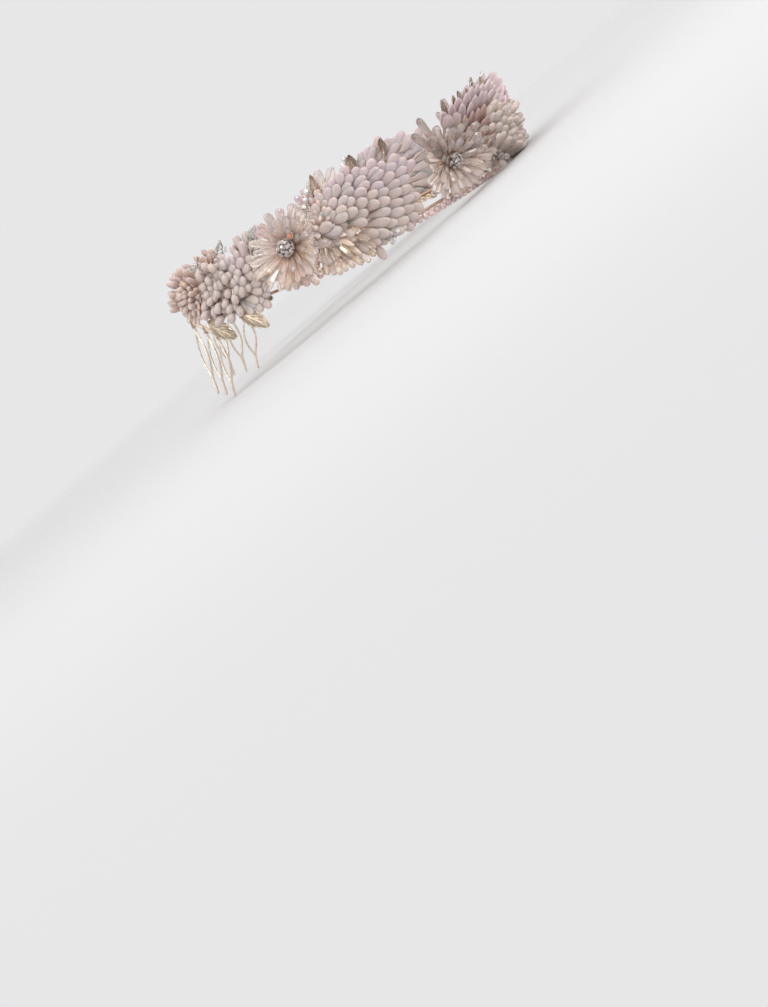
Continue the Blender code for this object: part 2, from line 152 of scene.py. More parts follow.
def emit(shape, name, materials, side=1, node=None):
    """Makes the object: side -1 is the wearer's left."""
    verts = np.concatenate(shape.v).copy()
    quads = np.concatenate(shape.q) if shape.q else np.zeros((0, 4), np.int64)
    tris = np.concatenate(shape.t) if shape.t else np.zeros((0, 3), np.int64)
    if side < 0:
        verts[:, 0] *= -1.0
        quads, tris = quads[:, ::-1], tris[:, ::-1]
    verts[:, 1] += CENTRE_Y
    verts *= MM
    uv = np.concatenate(shape.uv)
    col = np.concatenate(shape.col)
    mesh = bpy.data.meshes.new(name)
    loops = np.concatenate([quads.ravel(), tris.ravel()]).astype(np.int32)
    starts = np.concatenate([np.arange(len(quads)) * 4, len(quads) * 4 + np.arange(len(tris)) * 3]).astype(np.int32)
    mesh.vertices.add(len(verts))
    mesh.vertices.foreach_set("co", verts.astype(np.float32).ravel())
    mesh.loops.add(len(loops))
    mesh.loops.foreach_set("vertex_index", loops)
    mesh.polygons.add(len(starts))
    mesh.polygons.foreach_set("loop_start", starts)
    mats = np.concatenate(shape.qm + shape.tm).astype(np.int32)
    smooths = np.concatenate(shape.qs + shape.ts).astype(bool)
    mesh.update(calc_edges=True)
    mesh.polygons.foreach_set("material_index", mats)
    mesh.polygons.foreach_set("use_smooth", smooths)
    layer = mesh.uv_layers.new(name="UVMap")
    layer.data.foreach_set("uv", uv[loops].astype(np.float32).ravel())
    # vertex colour: each piece's own colour, with painted shade and highlights on petals and beads
    colour_and_painted_light = mesh.attributes.new("colour_and_painted_light", "FLOAT_COLOR", "POINT")
    colour_and_painted_light.data.foreach_set("color", np.concatenate([col, np.ones((len(col), 1))], 1).astype(np.float32).ravel())
    mesh.validate()
    for m in materials:
        mesh.materials.append(m)
    obj = bpy.data.objects.new(name, mesh)
    bpy.context.scene.collection.objects.link(obj)
    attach(obj, "root")
    if node:
        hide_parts(node)
    return obj


# ================================================================ forms: unit templates
def smooth01(t):
    t = np.clip(t, 0.0, 1.0)
    return t * t * (3 - 2 * t)


def petal_form(sides=14, rows=9, neck=0.30, shoulder=0.68, point=0.5, dish=0.0, flat_back=0.75):
    """A drop: x across (-0.5..0.5), y through, z along (0..1). point 0.5 rounds its tip, more sharpens it."""
    zs = np.concatenate([np.linspace(0, shoulder, rows - 4, endpoint=False),
                         shoulder + (1 - shoulder) * np.sin(np.linspace(0, math.pi / 2, 6))[:-1]])
    verts, uv = [], []
    for z in zs:
        if z < shoulder:
            w = neck + (1 - neck) * smooth01(z / shoulder) ** 0.85
        else:
            q = (z - shoulder) / (1 - shoulder)
            w = max(0.0, 1 - q * q) ** point
        for i in range(sides):
            a = 2 * math.pi * i / sides
            x, y = math.cos(a), math.sin(a)
            if y > 0:
                y = y * (1.0 - dish * (1 - abs(x)) * smooth01(z * 1.6))
            else:
                y = y * flat_back
            verts.append((0.5 * x * w, 0.5 * y * (0.35 + 0.65 * w), z))
            uv.append((0.5 + 0.5 * x, z))
    n = len(zs)
    quads = []
    for r in range(n - 1):
        for i in range(sides):
            j = (i + 1) % sides
            quads.append((r * sides + i, r * sides + j, (r + 1) * sides + j, (r + 1) * sides + i))
    tris = []
    base_i = len(verts)
    verts.append((0, 0, -0.02))
    uv.append((0.5, 0))
    tip_i = len(verts)
    verts.append((0, 0, 1.0))
    uv.append((0.5, 1))
    for i in range(sides):
        j = (i + 1) % sides
        tris.append((base_i, j, i))
        tris.append((tip_i, (n - 1) * sides + i, (n - 1) * sides + j))
    return np.array(verts, float), np.array(quads), np.array(tris), np.array(uv, float)


def crystal_form(sides=6, stations=((0.0, 0.34), (0.15, 0.58), (0.50, 0.88), (0.86, 1.0), (0.955, 0.78), (0.99, 0.46)), twist_from=4,
                 thick_scale=1.0):
    """A cut drop with long facets and a faceted tip."""
    verts, uv = [], []
    for k, (z, w) in enumerate(stations):
        turn = 0.5 if k >= twist_from and (k - twist_from) % 2 == 0 else 0.0
        for i in range(sides):
            a = 2 * math.pi * (i + turn) / sides
            verts.append((0.5 * math.cos(a) * w, 0.5 * math.sin(a) * w * thick_scale, z))
            uv.append((0.5 + 0.5 * math.cos(a), z))
    quads, tris = [], []
    for k in range(len(stations) - 1):
        t0 = k >= twist_from and (k - twist_from) % 2 == 0
        t1 = k + 1 >= twist_from and (k + 1 - twist_from) % 2 == 0
        for i in range(sides):
            j = (i + 1) % sides
            a, b = k * sides + i, k * sides + j
            c, d = (k + 1) * sides + i, (k + 1) * sides + j
            if t0 == t1:
                quads.append((a, b, d, c))
            elif t1:
                tris += [(a, b, c), (b, d, c)]
            else:
                tris += [(a, b, d), (a, d, c)]
    n = len(stations)
    root_i = len(verts)
    verts.append((0, 0, 0))
    uv.append((0.5, 0))
    tip_i = len(verts)
    verts.append((0, 0, 1.0))
    uv.append((0.5, 1))
    for i in range(sides):
        j = (i + 1) % sides
        tris.append((root_i, j, i))
        tris.append((tip_i, (n - 1) * sides + i, (n - 1) * sides + j))
    return np.array(verts, float), np.array(quads).reshape(-1, 4), np.array(tris), np.array(uv, float)


def stone_form(sides=8, table=0.56, crown=0.42, belt=0.12, deep=0.7):
    """A round cut stone: its girdle lies at z=0 with radius 1, its table faces +z."""
    verts, tris, quads = [], [], []
    for i in range(sides):
        a = 2 * math.pi * (i + 0.5) / sides
        verts.append((math.cos(a), math.sin(a), -belt))
    for i in range(sides):
        a = 2 * math.pi * (i + 0.5) / sides
        verts.append((math.cos(a), math.sin(a), 0.0))
    for i in range(sides):
        a = 2 * math.pi * i / sides
        verts.append((0.80 * math.cos(a), 0.80 * math.sin(a), crown * 0.55))
    for i in range(sides):
        a = 2 * math.pi * (i + 0.5) / sides
        verts.append((table * math.cos(a), table * math.sin(a), crown))
    top = len(verts)
    verts.append((0, 0, crown))
    low = len(verts)
    verts.append((0, 0, -deep))
    s = sides
    for i in range(s):
        j = (i + 1) % s
        quads.append((i, j, s + j, s + i))
        # the kite ring is half a step round from the girdle
        tris.append((s + i, s + j, 2 * s + j))
        tris.append((s + i, 2 * s + j, 2 * s + i))
        tris.append((2 * s + i, 3 * s + i, 3 * s + (i - 1) % s))
        tris.append((2 * s + i, 2 * s + j, 3 * s + i))
        tris.append((3 * s + i, 3 * s + j, top))
        tris.append((j, i, low))
    v = np.array(verts, float)
    return v, np.array(quads), np.array(tris), np.stack([0.5 + 0.5 * v[:, 0], 0.5 + 0.5 * v[:, 1]], 1)


def ball_form(sides=12, rows=7):
    verts, uv, quads, tris = [], [], [], []
    for r in range(1, rows):
        b = math.pi * r / rows
        for i in range(sides):
            a = 2 * math.pi * i / sides
            verts.append((math.sin(b) * math.cos(a), math.sin(b) * math.sin(a), -math.cos(b)))
            uv.append((i / sides, r / rows))
    for r in range(rows - 2):
        for i in range(sides):
            j = (i + 1) % sides
            quads.append((r * sides + i, r * sides + j, (r + 1) * sides + j, (r + 1) * sides + i))
    low = len(verts)
    verts += [(0, 0, -1.0), (0, 0, 1.0)]
    uv += [(0.5, 0), (0.5, 1)]
    for i in range(sides):
        j = (i + 1) % sides
        tris.append((low, j, i))
        tris.append((low + 1, (rows - 2) * sides + i, (rows - 2) * sides + j))
    return np.array(verts, float), np.array(quads), np.array(tris), np.array(uv, float)


def turned_form(profile, sides=14):
    """A closed profile of (radius, z) turned round z."""
    verts, uv, quads = [], [], []
    n = len(profile)
    for i in range(sides):
        a = 2 * math.pi * i / sides
        for k, (r, z) in enumerate(profile):
            verts.append((r * math.cos(a), r * math.sin(a), z))
            uv.append((i / sides, k / n))
    for i in range(sides):
        j = (i + 1) % sides
        for k in range(n):
            m = (k + 1) % n
            quads.append((i * n + k, j * n + k, j * n + m, i * n + m))
    return np.array(verts, float), np.array(quads), np.zeros((0, 3), int), np.array(uv, float)


PETAL_ROUND = petal_form(14, 10, 0.34, 0.66, 0.50, 0.10)
PETAL_LONG = petal_form(14, 11, 0.42, 0.74, 0.50, 0.06)
PETAL_POINTED = petal_form(12, 10, 0.30, 0.60, 0.68, 0.42, 0.6)
PETAL_NARROW = petal_form(10, 8, 0.35, 0.62, 0.75, 0.0)
DROP = petal_form(12, 9, 0.30, 0.62, 0.50, 0.0, 1.0)
CRYSTAL = crystal_form()
CRYSTAL_SLIM = crystal_form(6, ((0.0, 0.36), (0.15, 0.60), (0.50, 0.94), (0.80, 1.0), (0.94, 0.60), (0.99, 0.26)))
CRYSTAL_BROAD = crystal_form(8, ((0.0, 0.24), (0.14, 0.46), (0.46, 0.88), (0.80, 1.0), (0.93, 0.86), (0.985, 0.54)))
STONE = stone_form()
BALL = ball_form()
BALL_SMALL = ball_form(8, 5)
CUP = turned_form([(0.30, -1.0), (0.82, -1.0), (1.0, -0.7), (1.06, 0.05), (1.0, 0.12), (0.9, 0.0), (0.80, -0.40), (0.30, -0.55)])


def put(shape, form, root, direction, normal, size, colour, mat=0, smooth=True, bend=0.0, sway=0.0, roll=0.0):
    """Places a form: size is (across, through, along), bend curls its end towards the normal, sway to its side."""
    verts, quads, tris, uv = form
    side = np.cross(normal, direction)
    if roll:
        c, s = math.cos(math.radians(roll)), math.sin(math.radians(roll))
        side, normal = side * c + normal * s, normal * c - side * s
    x, y, z = verts[:, 0] * size[0], verts[:, 1] * size[1], verts[:, 2] * size[2]
    f = np.clip(verts[:, 2], 0, 1) ** 2
    y = y + bend * size[2] * f
    x = x + sway * size[2] * f
    placed = root + x[:, None] * side + y[:, None] * normal + z[:, None] * direction
    if callable(colour):
        colour = colour(uv)
    shape.add(placed, quads, tris, uv, colour, mat, smooth)


def tube(shape, points, radius, colour, mat=0, sides=7, taper=None, flat=1.0, cap=True):
    """A wire along the points, whose section keeps from twisting."""
    pts = np.array(points, float)
    n = len(pts)
    tangents = np.gradient(pts, axis=0)
    tangents /= np.linalg.norm(tangents, axis=1)[:, None]
    ref = np.array([0.0, 0.0, 1.0]) if abs(tangents[0][2]) < 0.9 else np.array([1.0, 0.0, 0.0])
    side = unit(np.cross(tangents[0], ref))
    verts, uv = [], []
    angles = 2 * np.pi * np.arange(sides) / sides
    for i in range(n):
        side = unit(side - tangents[i] * float(side @ tangents[i]))
        other = np.cross(tangents[i], side)
        r = radius * (taper[i] if taper is not None else 1.0)
        ring = pts[i] + r * (np.cos(angles)[:, None] * side + flat * np.sin(angles)[:, None] * other)
        verts.append(ring)
        uv.append(np.stack([np.arange(sides) / sides, np.full(sides, i / max(1, n - 1))], 1))
    quads = []
    for i in range(n - 1):
        for k in range(sides):
            m = (k + 1) % sides
            quads.append((i * sides + k, i * sides + m, (i + 1) * sides + m, (i + 1) * sides + k))
    tris = []
    verts = np.concatenate(verts)
    uv = np.concatenate(uv)
    if cap:
        verts = np.concatenate([verts, [pts[0] - tangents[0] * radius * 0.3, pts[-1] + tangents[-1] * radius * 0.3]])
        uv = np.concatenate([uv, [(0.5, 0.0), (0.5, 1.0)]])
        a, b = n * sides, n * sides + 1
        for k in range(sides):
            m = (k + 1) % sides
            tris.append((a, m, k))
            tris.append((b, (n - 1) * sides + k, (n - 1) * sides + m))
    shape.add(verts, quads, tris, uv, colour, mat, True)


def smooth_path(points, count):
    """A smooth curve through the points."""
    pts = [np.array(p, float) for p in points]
    if len(pts) == 2:
        return [pts[0] + (pts[1] - pts[0]) * t for t in np.linspace(0, 1, count)]
    ext = [2 * pts[0] - pts[1]] + pts + [2 * pts[-1] - pts[-2]]
    out = []
    spans = len(pts) - 1
    for t in np.linspace(0, spans, count):
        i = min(int(t), spans - 1)
        u = t - i
        p0, p1, p2, p3 = ext[i:i + 4]
        out.append(0.5 * (2 * p1 + (p2 - p0) * u + (2 * p0 - 5 * p1 + 4 * p2 - p3) * u * u
                          + (3 * p1 - p0 - 3 * p2 + p3) * u ** 3))
    return out


def coil(shape, path, radius, wire, pitch, colour, mat=0, per_turn=9, sides=4):
    """Thin wire wound round a path."""
    pts = np.array(path, float)
    seg = np.linalg.norm(np.diff(pts, axis=0), axis=1)
    length = np.concatenate([[0], np.cumsum(seg)])
    turns = max(1.0, length[-1] / pitch)
    count = int(turns * per_turn) + 1
    s = np.linspace(0, length[-1], count)
    centre = np.stack([np.interp(s, length, pts[:, k]) for k in range(3)], 1)
    tangent = np.gradient(centre, axis=0)
    tangent /= np.linalg.norm(tangent, axis=1)[:, None]
    side = unit(np.cross(tangent[0], np.array([0.3, 0.2, 0.93])))
    out = []
    for i in range(count):
        side = unit(side - tangent[i] * float(side @ tangent[i]))
        other = np.cross(tangent[i], side)
        a = 2 * math.pi * i / per_turn
        out.append(centre[i] + radius * (math.cos(a) * side + math.sin(a) * other))
    tube(shape, out, wire, colour, mat, sides)


# ================================================================ materials
def principled(name):
    mat = bpy.data.materials.new(name)
    mat.use_nodes = True
    nodes, links = mat.node_tree.nodes, mat.node_tree.links
    return mat, nodes, links, nodes["Principled BSDF"]


def link_noise(nodes, links, scale, detail=3.0, rough=0.55, stretch=None):
    coord = nodes.new("ShaderNodeTexCoord")
    noise = nodes.new("ShaderNodeTexNoise")
    noise.inputs["Scale"].default_value = scale
    noise.inputs["Detail"].default_value = detail
    noise.inputs["Roughness"].default_value = rough
    if stretch:
        mapping = nodes.new("ShaderNodeMapping")
        mapping.inputs["Scale"].default_value = stretch
        links.new(coord.outputs["UV"], mapping.inputs["Vector"])
        links.new(mapping.outputs["Vector"], noise.inputs["Vector"])
    else:
        links.new(coord.outputs["Object"], noise.inputs["Vector"])
    return noise


def spread(nodes, links, value, lo, hi):
    node = nodes.new("ShaderNodeMapRange")
    node.inputs["From Min"].default_value = 0.3
    node.inputs["From Max"].default_value = 0.7
    node.inputs["To Min"].default_value = lo
    node.inputs["To Max"].default_value = hi
    links.new(value, node.inputs["Value"])
    return node.outputs["Result"]


def tint_colour(nodes, links, bsdf, noise, hue=0.012, value=(0.86, 1.10), saturation=(0.85, 1.15)):
    """Base colour: the piece's own colour together with the painted shade and highlights of petals and beads, with its
    hue, depth and value drifting.
    """
    attr = nodes.new("ShaderNodeAttribute")
    attr.attribute_name = "colour_and_painted_light"
    hsv = nodes.new("ShaderNodeHueSaturation")
    links.new(attr.outputs["Color"], hsv.inputs["Color"])
    links.new(spread(nodes, links, noise.outputs["Fac"], 0.5 - hue, 0.5 + hue), hsv.inputs["Hue"])
    links.new(spread(nodes, links, noise.outputs["Fac"], saturation[0], saturation[1]), hsv.inputs["Saturation"])
    links.new(spread(nodes, links, noise.outputs["Fac"], value[0], value[1]), hsv.inputs["Value"])
    links.new(hsv.outputs["Color"], bsdf.inputs["Base Color"])
    return hsv


def bump(nodes, links, bsdf, height, strength, distance):
    node = nodes.new("ShaderNodeBump")
    node.inputs["Strength"].default_value = strength
    node.inputs["Distance"].default_value = distance
    links.new(height, node.inputs["Height"])
    links.new(node.outputs["Normal"], bsdf.inputs["Normal"])
    return node


def frosted_material():
    mat, nodes, links, bsdf = principled("frosted_petal")
    drift = link_noise(nodes, links, 260.0, 3.0)
    tint_colour(nodes, links, bsdf, drift, 0.010, (0.92, 1.06), (0.80, 1.20))
    fine = link_noise(nodes, links, 2400.0, 2.0)
    links.new(spread(nodes, links, fine.outputs["Fac"], 0.30, 0.46), bsdf.inputs["Roughness"])
    bump(nodes, links, bsdf, fine.outputs["Fac"], 0.12, 0.0001)
    bsdf.inputs["Subsurface Weight"].default_value = 0.55
    bsdf.inputs["Subsurface Radius"].default_value = (1.0, 0.74, 0.68)
    bsdf.inputs["Subsurface Scale"].default_value = 0.0030
    bsdf.inputs["Coat Weight"].default_value = 0.30
    bsdf.inputs["Coat Roughness"].default_value = 0.24
    bsdf.inputs["IOR"].default_value = 1.5
    return mat


def crystal_material():
    mat, nodes, links, bsdf = principled("peach_crystal")
    drift = link_noise(nodes, links, 140.0, 2.0)
    tint_colour(nodes, links, bsdf, drift, 0.015, (0.97, 1.04), (0.7, 1.3))
    fine = link_noise(nodes, links, 900.0, 2.0)
    links.new(spread(nodes, links, fine.outputs["Fac"], 0.02, 0.09), bsdf.inputs["Roughness"])
    bump(nodes, links, bsdf, drift.outputs["Fac"], 0.15, 0.0002)
    bsdf.inputs["Transmission Weight"].default_value = 0.78
    bsdf.inputs["IOR"].default_value = 1.45
    bsdf.inputs["Coat Weight"].default_value = 0.9
    bsdf.inputs["Coat Roughness"].default_value = 0.02
    return mat


def milky_material():
    mat, nodes, links, bsdf = principled("milky_crystal")
    drift = link_noise(nodes, links, 180.0, 2.0)
    tint_colour(nodes, links, bsdf, drift, 0.02, (0.92, 1.08), (0.75, 1.25))
    fine = link_noise(nodes, links, 1500.0, 2.0)
    links.new(spread(nodes, links, fine.outputs["Fac"], 0.16, 0.32), bsdf.inputs["Roughness"])
    bump(nodes, links, bsdf, drift.outputs["Fac"], 0.1, 0.0002)
    bsdf.inputs["Transmission Weight"].default_value = 0.25
    bsdf.inputs["Subsurface Weight"].default_value = 0.4
    bsdf.inputs["Subsurface Radius"].default_value = (1.0, 0.75, 0.65)
    bsdf.inputs["Subsurface Scale"].default_value = 0.0025
    bsdf.inputs["Coat Weight"].default_value = 0.5
    bsdf.inputs["Coat Roughness"].default_value = 0.10
    return mat


def stone_material(name, metallic, rough):
    mat, nodes, links, bsdf = principled(name)
    drift = link_noise(nodes, links, 420.0, 1.0)
    tint_colour(nodes, links, bsdf, drift, 0.015, (0.85, 1.12), (0.8, 1.2))
    links.new(spread(nodes, links, drift.outputs["Fac"], rough * 0.6, rough * 1.6), bsdf.inputs["Roughness"])
    bsdf.inputs["Metallic"].default_value = metallic
    bsdf.inputs["Coat Weight"].default_value = 0.8
    bsdf.inputs["Coat Roughness"].default_value = 0.03
    bsdf.inputs["IOR"].default_value = 1.6
    return mat


def pearl_material():
    mat, nodes, links, bsdf = principled("pearl_lustre")
    drift = link_noise(nodes, links, 500.0, 2.0)
    tint_colour(nodes, links, bsdf, drift, 0.012, (0.88, 1.08), (0.85, 1.2))
    fine = link_noise(nodes, links, 2600.0, 2.0)
    links.new(spread(nodes, links, fine.outputs["Fac"], 0.16, 0.30), bsdf.inputs["Roughness"])
    bump(nodes, links, bsdf, drift.outputs["Fac"], 0.08, 0.0002)
    bsdf.inputs["Subsurface Weight"].default_value = 0.2
    bsdf.inputs["Subsurface Radius"].default_value = (1.0, 0.6, 0.45)
    bsdf.inputs["Subsurface Scale"].default_value = 0.0012
    bsdf.inputs["Coat Weight"].default_value = 0.7
    bsdf.inputs["Coat Roughness"].default_value = 0.08
    return mat


def metal_material(name, rough, wear=(0.75, 1.12), scale=700.0, grain=0.1):
    mat, nodes, links, bsdf = principled(name)
    drift = link_noise(nodes, links, scale, 4.0)
    tint_colour(nodes, links, bsdf, drift, 0.008, wear, (0.85, 1.15))
    fine = link_noise(nodes, links, scale * 4, 3.0)
    links.new(spread(nodes, links, fine.outputs["Fac"], rough * 0.65, rough * 1.45), bsdf.inputs["Roughness"])
    bump(nodes, links, bsdf, fine.outputs["Fac"], grain, 0.0001)
    bsdf.inputs["Metallic"].default_value = 1.0
    return mat


FROSTED = frosted_material()
CRYSTALS = crystal_material()
MILKY = milky_material()
RHINESTONE = stone_material("clear_rhinestone", 0.30, 0.06)
ROSE_STONE = stone_material("rose_stone", 0.38, 0.07)
PEARL = pearl_material()
GOLD = metal_material("gold_wire", 0.26)
LEAF_GOLD = metal_material("antique_gold_leaf", 0.30, (0.78, 1.12), 500.0, 0.25)
LEAF_GOLD.node_tree.nodes["Principled BSDF"].inputs["Metallic"].default_value = 0.82
SILVER = metal_material("silver_setting", 0.32)
COPPER = metal_material("copper_wire", 0.28)

# colours, linear
PINK_WHITE = np.array([0.66, 0.555, 0.545])
CREAM = np.array([0.645, 0.54, 0.475])
MAUVE = np.array([0.46, 0.33, 0.35])
MAUVE_LIGHT = np.array([0.64, 0.52, 0.565])
SHADE = np.array([0.44, 0.31, 0.27])
PEACH = np.array([0.86, 0.60, 0.47])
HONEY = np.array([0.80, 0.52, 0.33])
CLEAR = np.array([1.0, 0.945, 0.93])
SMOKE = np.array([0.58, 0.48, 0.45])
# brown of the painted shadow between beads
SHADOW_BROWN = np.array([0.40, 0.22, 0.15])
AMBER = np.array([0.42, 0.20, 0.15])
OLIVE = np.array([0.64, 0.54, 0.46])
GOLD_C = np.array([0.93, 0.76, 0.60])
GOLD_LEAF_C = np.array([0.92, 0.72, 0.54])
BRONZE_C = np.array([0.30, 0.20, 0.15])
SILVER_C = np.array([0.80, 0.79, 0.78])
COPPER_C = np.array([0.62, 0.40, 0.30])
ROSE_C = np.array([0.92, 0.67, 0.70])


def mix(a, b, t):
    return a + (b - a) * t


def petal_paint(tip, root, rim=None, rim_highlight_amount=0.0, power=1.2):
    """Colour along and across a petal: darker where it leaves its root, which on frosted petals, crest petals and beads
    is painted shade, and lighter at its rim, which is a painted highlight.
    """
    def paint(uv):
        f = np.clip(uv[:, 1], 0, 1)[:, None] ** power
        # from the root colour to the tip colour; on frosted petals, crest petals and beads the darker root is painted
        # shade
        col = root + (tip - root) * f
        if rim is not None:
            # painted highlight: the sides and the end of the petal are lightened towards the rim colour
            edge = np.abs(uv[:, 0] * 2 - 1)[:, None] ** 3
            edge = np.maximum(edge, smooth01((uv[:, 1][:, None] - 0.78) / 0.22))
            col = col + (rim - col) * edge * rim_highlight_amount
        return np.clip(col, 0.0, 1.0)
    return paint


# ================================================================ petals
def petal_at_tip(shape, form, tip_along, tip_height, angle, tilt, length, width, thick, out, colour, bend=0.0, sway=0.0,
                 roll=0.0, mat=0, smooth=True):
    """A petal whose tip is over a place on the wall; out is its root's distance from the wall."""
    a, t = math.radians(angle), math.radians(tilt)
    flat = length * math.cos(t)
    root_along = tip_along + flat * math.cos(a)
    root_height = tip_height - flat * math.sin(a)
    direction, normal = aim(root_along, angle, tilt)
    put(shape, form, wall(root_along, root_height, out), direction, normal, (width, thick, length), colour, mat, smooth,
        bend, sway, roll)


def reach_at(table, angle):
    angles = [row[0] for row in table]
    return float(np.interp(angle, angles, [row[1] for row in table]))


def reach_table(edge, origin):
    """Direction and reach of each edge petal's tip from the origin, in order."""
    rows = []
    for row in edge:
        rows.append((math.degrees(math.atan2(row[1] - origin[1], origin[0] - row[0])),
                     math.hypot(origin[0] - row[0], row[1] - origin[1])))
    return sorted(rows)


def fan(shape, origin, table, step, pitch, length, width, thick, tilts, out, form, paint, rows=9, least=3.0,
        inset=0.0, jitter=5.0, pile=0.42):
    """Rows of petals round an origin, each row nearer to it and lying over the roots of the row before."""
    lo, hi = table[0][0], table[-1][0]
    for k in range(rows):
        angle = lo + (pitch * 0.25 if k % 2 else pitch * 0.6)
        placed = 0
        angle = lo
        offset = 0.5 if k % 2 else 0.0
        while angle <= hi:
            r = reach_at(table, angle) - inset - k * step
            if r < least:
                angle += 12.0
                continue
            da = math.degrees(pitch / max(r, 4.0))
            if placed == 0:
                angle += da * offset
            r = r + shape.rand(-0.8, 0.8)
            share = k / max(1, rows - 1)
            tilt = tilts[0] + (tilts[1] - tilts[0]) * share + shape.rand(-3, 3)
            th = math.radians(angle)
            tip_a, tip_h = origin[0] - r * math.cos(th), origin[1] + r * math.sin(th)
            shrink = 1.0 - 0.10 * share
            petal_at_tip(shape, form, tip_a, tip_h, angle + shape.rand(-jitter, jitter), tilt,
                         length * shrink * shape.rand(0.95, 1.05), width * shape.rand(0.94, 1.08), thick,
                         out + pile * k + shape.rand(0, 0.2), paint(shape, tip_a, tip_h, share),
                         bend=shape.rand(0.02, 0.09), roll=shape.rand(-8, 8))
            angle += da * shape.rand(0.94, 1.08)
            placed += 1


def frosted_paint(shape, along, height, share):
    upper = smooth01(np.array([(height - 40.0) / 22.0]))[0] if along < 130 else smooth01(np.array([(height - 12.0) / 14.0]))[0]
    tip = mix(CREAM, PINK_WHITE, shape.rand(0.2, 0.7)) * shape.rand(0.82, 0.93)
    tip = mix(tip, MAUVE_LIGHT * 0.93, upper * (1 - 0.6 * share) * shape.rand(0.4, 0.9))
    # painted shade at the root, darkened towards SHADE where the petals overlap; the rim colour is a painted highlight
    root = mix(SHADE, CREAM, shape.rand(0.0, 0.3))
    return petal_paint(tip, mix(root, tip, 0.68), np.array([0.70, 0.61, 0.59]), 0.25, 0.9)


# silhouette petals: along and height of the tip, direction, length, width
SIDE_EDGE = (
    (117.2, 54.9, 97, 10.5, 4.6), (113.6, 57.0, 86, 11.5, 4.7), (107.5, 62.7, 80, 14.0, 5.2), (103.4, 61.8, 96, 13.5, 5.2),
    (95.4, 65.2, 76, 13.0, 5.1), (90.5, 63.5, 63, 12.0, 5.2), (84.8, 66.8, 69, 12.5, 4.9), (80.7, 64.6, 60, 12.0, 5.2),
    (76.4, 63.2, 51, 12.0, 5.2), (73.7, 46.7, 16, 12.0, 4.9), (72.5, 40.5, -6, 13.0, 5.0), (75.2, 36.4, -11, 12.5, 5.0),
    (77.4, 31.2, -20, 12.0, 5.0), (90.0, 25.3, -26, 10.0, 4.4), (91.7, 17.9, -58, 9.5, 4.4), (97.0, 20.7, -35, 9.0, 3.8),
)
SIDE_ORIGIN = (121.0, 31.0)

BACK_EDGE = (
    (179.7, 14.1, 95, 9.5, 4.4), (172.8, 20.9, 74, 10.5, 4.7), (168.9, 20.0, 62, 10.0, 4.5), (162.9, 23.0, 68, 10.5, 4.9),
    (159.8, 27.9, 83, 12.5, 4.5), (155.2, 21.0, 52, 10.5, 4.6), (151.0, 16.5, 36, 10.5, 4.6), (147.8, 12.0, 22, 10.5, 4.6),
    (145.6, 7.6, 8, 11.0, 4.7), (145.4, 3.3, -2, 11.0, 4.5), (148.6, -0.6, -12, 11.0, 4.7), (153.5, -3.0, -20, 11.0, 4.9),
    (159.0, -5.4, -34, 10.5, 4.8), (164.5, -7.6, -50, 10.0, 4.6), (174.9, -10.4, -88, 9.5, 4.5), (169.8, -9.4, -70, 9.5, 4.5),
    (182.0, -11.0, -98, 9.5, 4.4),
)
BACK_ORIGIN = (182.0, 1.0)
BACK_LOW = (
    # along and height of the tip, direction, length, width
    (144.8, -2.4, -12, 12.6, 4.6), (149.4, -4.6, -20, 12.4, 4.7), (155.0, -6.6, -30, 12.0, 4.7),
)


def build_side_spray(side):
    s = Shape(11 if side > 0 else 12)
    for along, height, angle, length, width in SIDE_EDGE:
        form = PETAL_LONG if length > 12.2 else PETAL_ROUND
        petal_at_tip(s, form, along, height, angle + s.rand(-2, 2), 9.0 + s.rand(-2, 3), length, width, 3.0,
                     VINE_OUT + s.rand(0.0, 0.5), frosted_paint(s, along, height, 0.0), bend=0.05, roll=s.rand(-6, 6))
    fan(s, SIDE_ORIGIN, reach_table(SIDE_EDGE + ((103.0, 18.5, -40), (125.0, 56.0, 100)), SIDE_ORIGIN), 5.5, 4.5, 12.6, 5.2, 3.0,
        (10.0, 22.0), VINE_OUT + 0.5, PETAL_ROUND, frosted_paint, rows=9, inset=4.2, least=8.0)
    fan(s, SIDE_ORIGIN, reach_table(SIDE_EDGE + ((103.0, 18.5, -40), (125.0, 56.0, 100)), SIDE_ORIGIN), 5.6, 4.8, 11.0, 5.2, 2.6,
        (4.0, 14.0), 0.5, PETAL_ROUND, frosted_paint, rows=7, inset=6.4, least=6.0, pile=0.3)
    emit(s, "petals_side_" + ("r" if side > 0 else "l"), [FROSTED], side,
         "spray_side_" + ("r" if side > 0 else "l"))


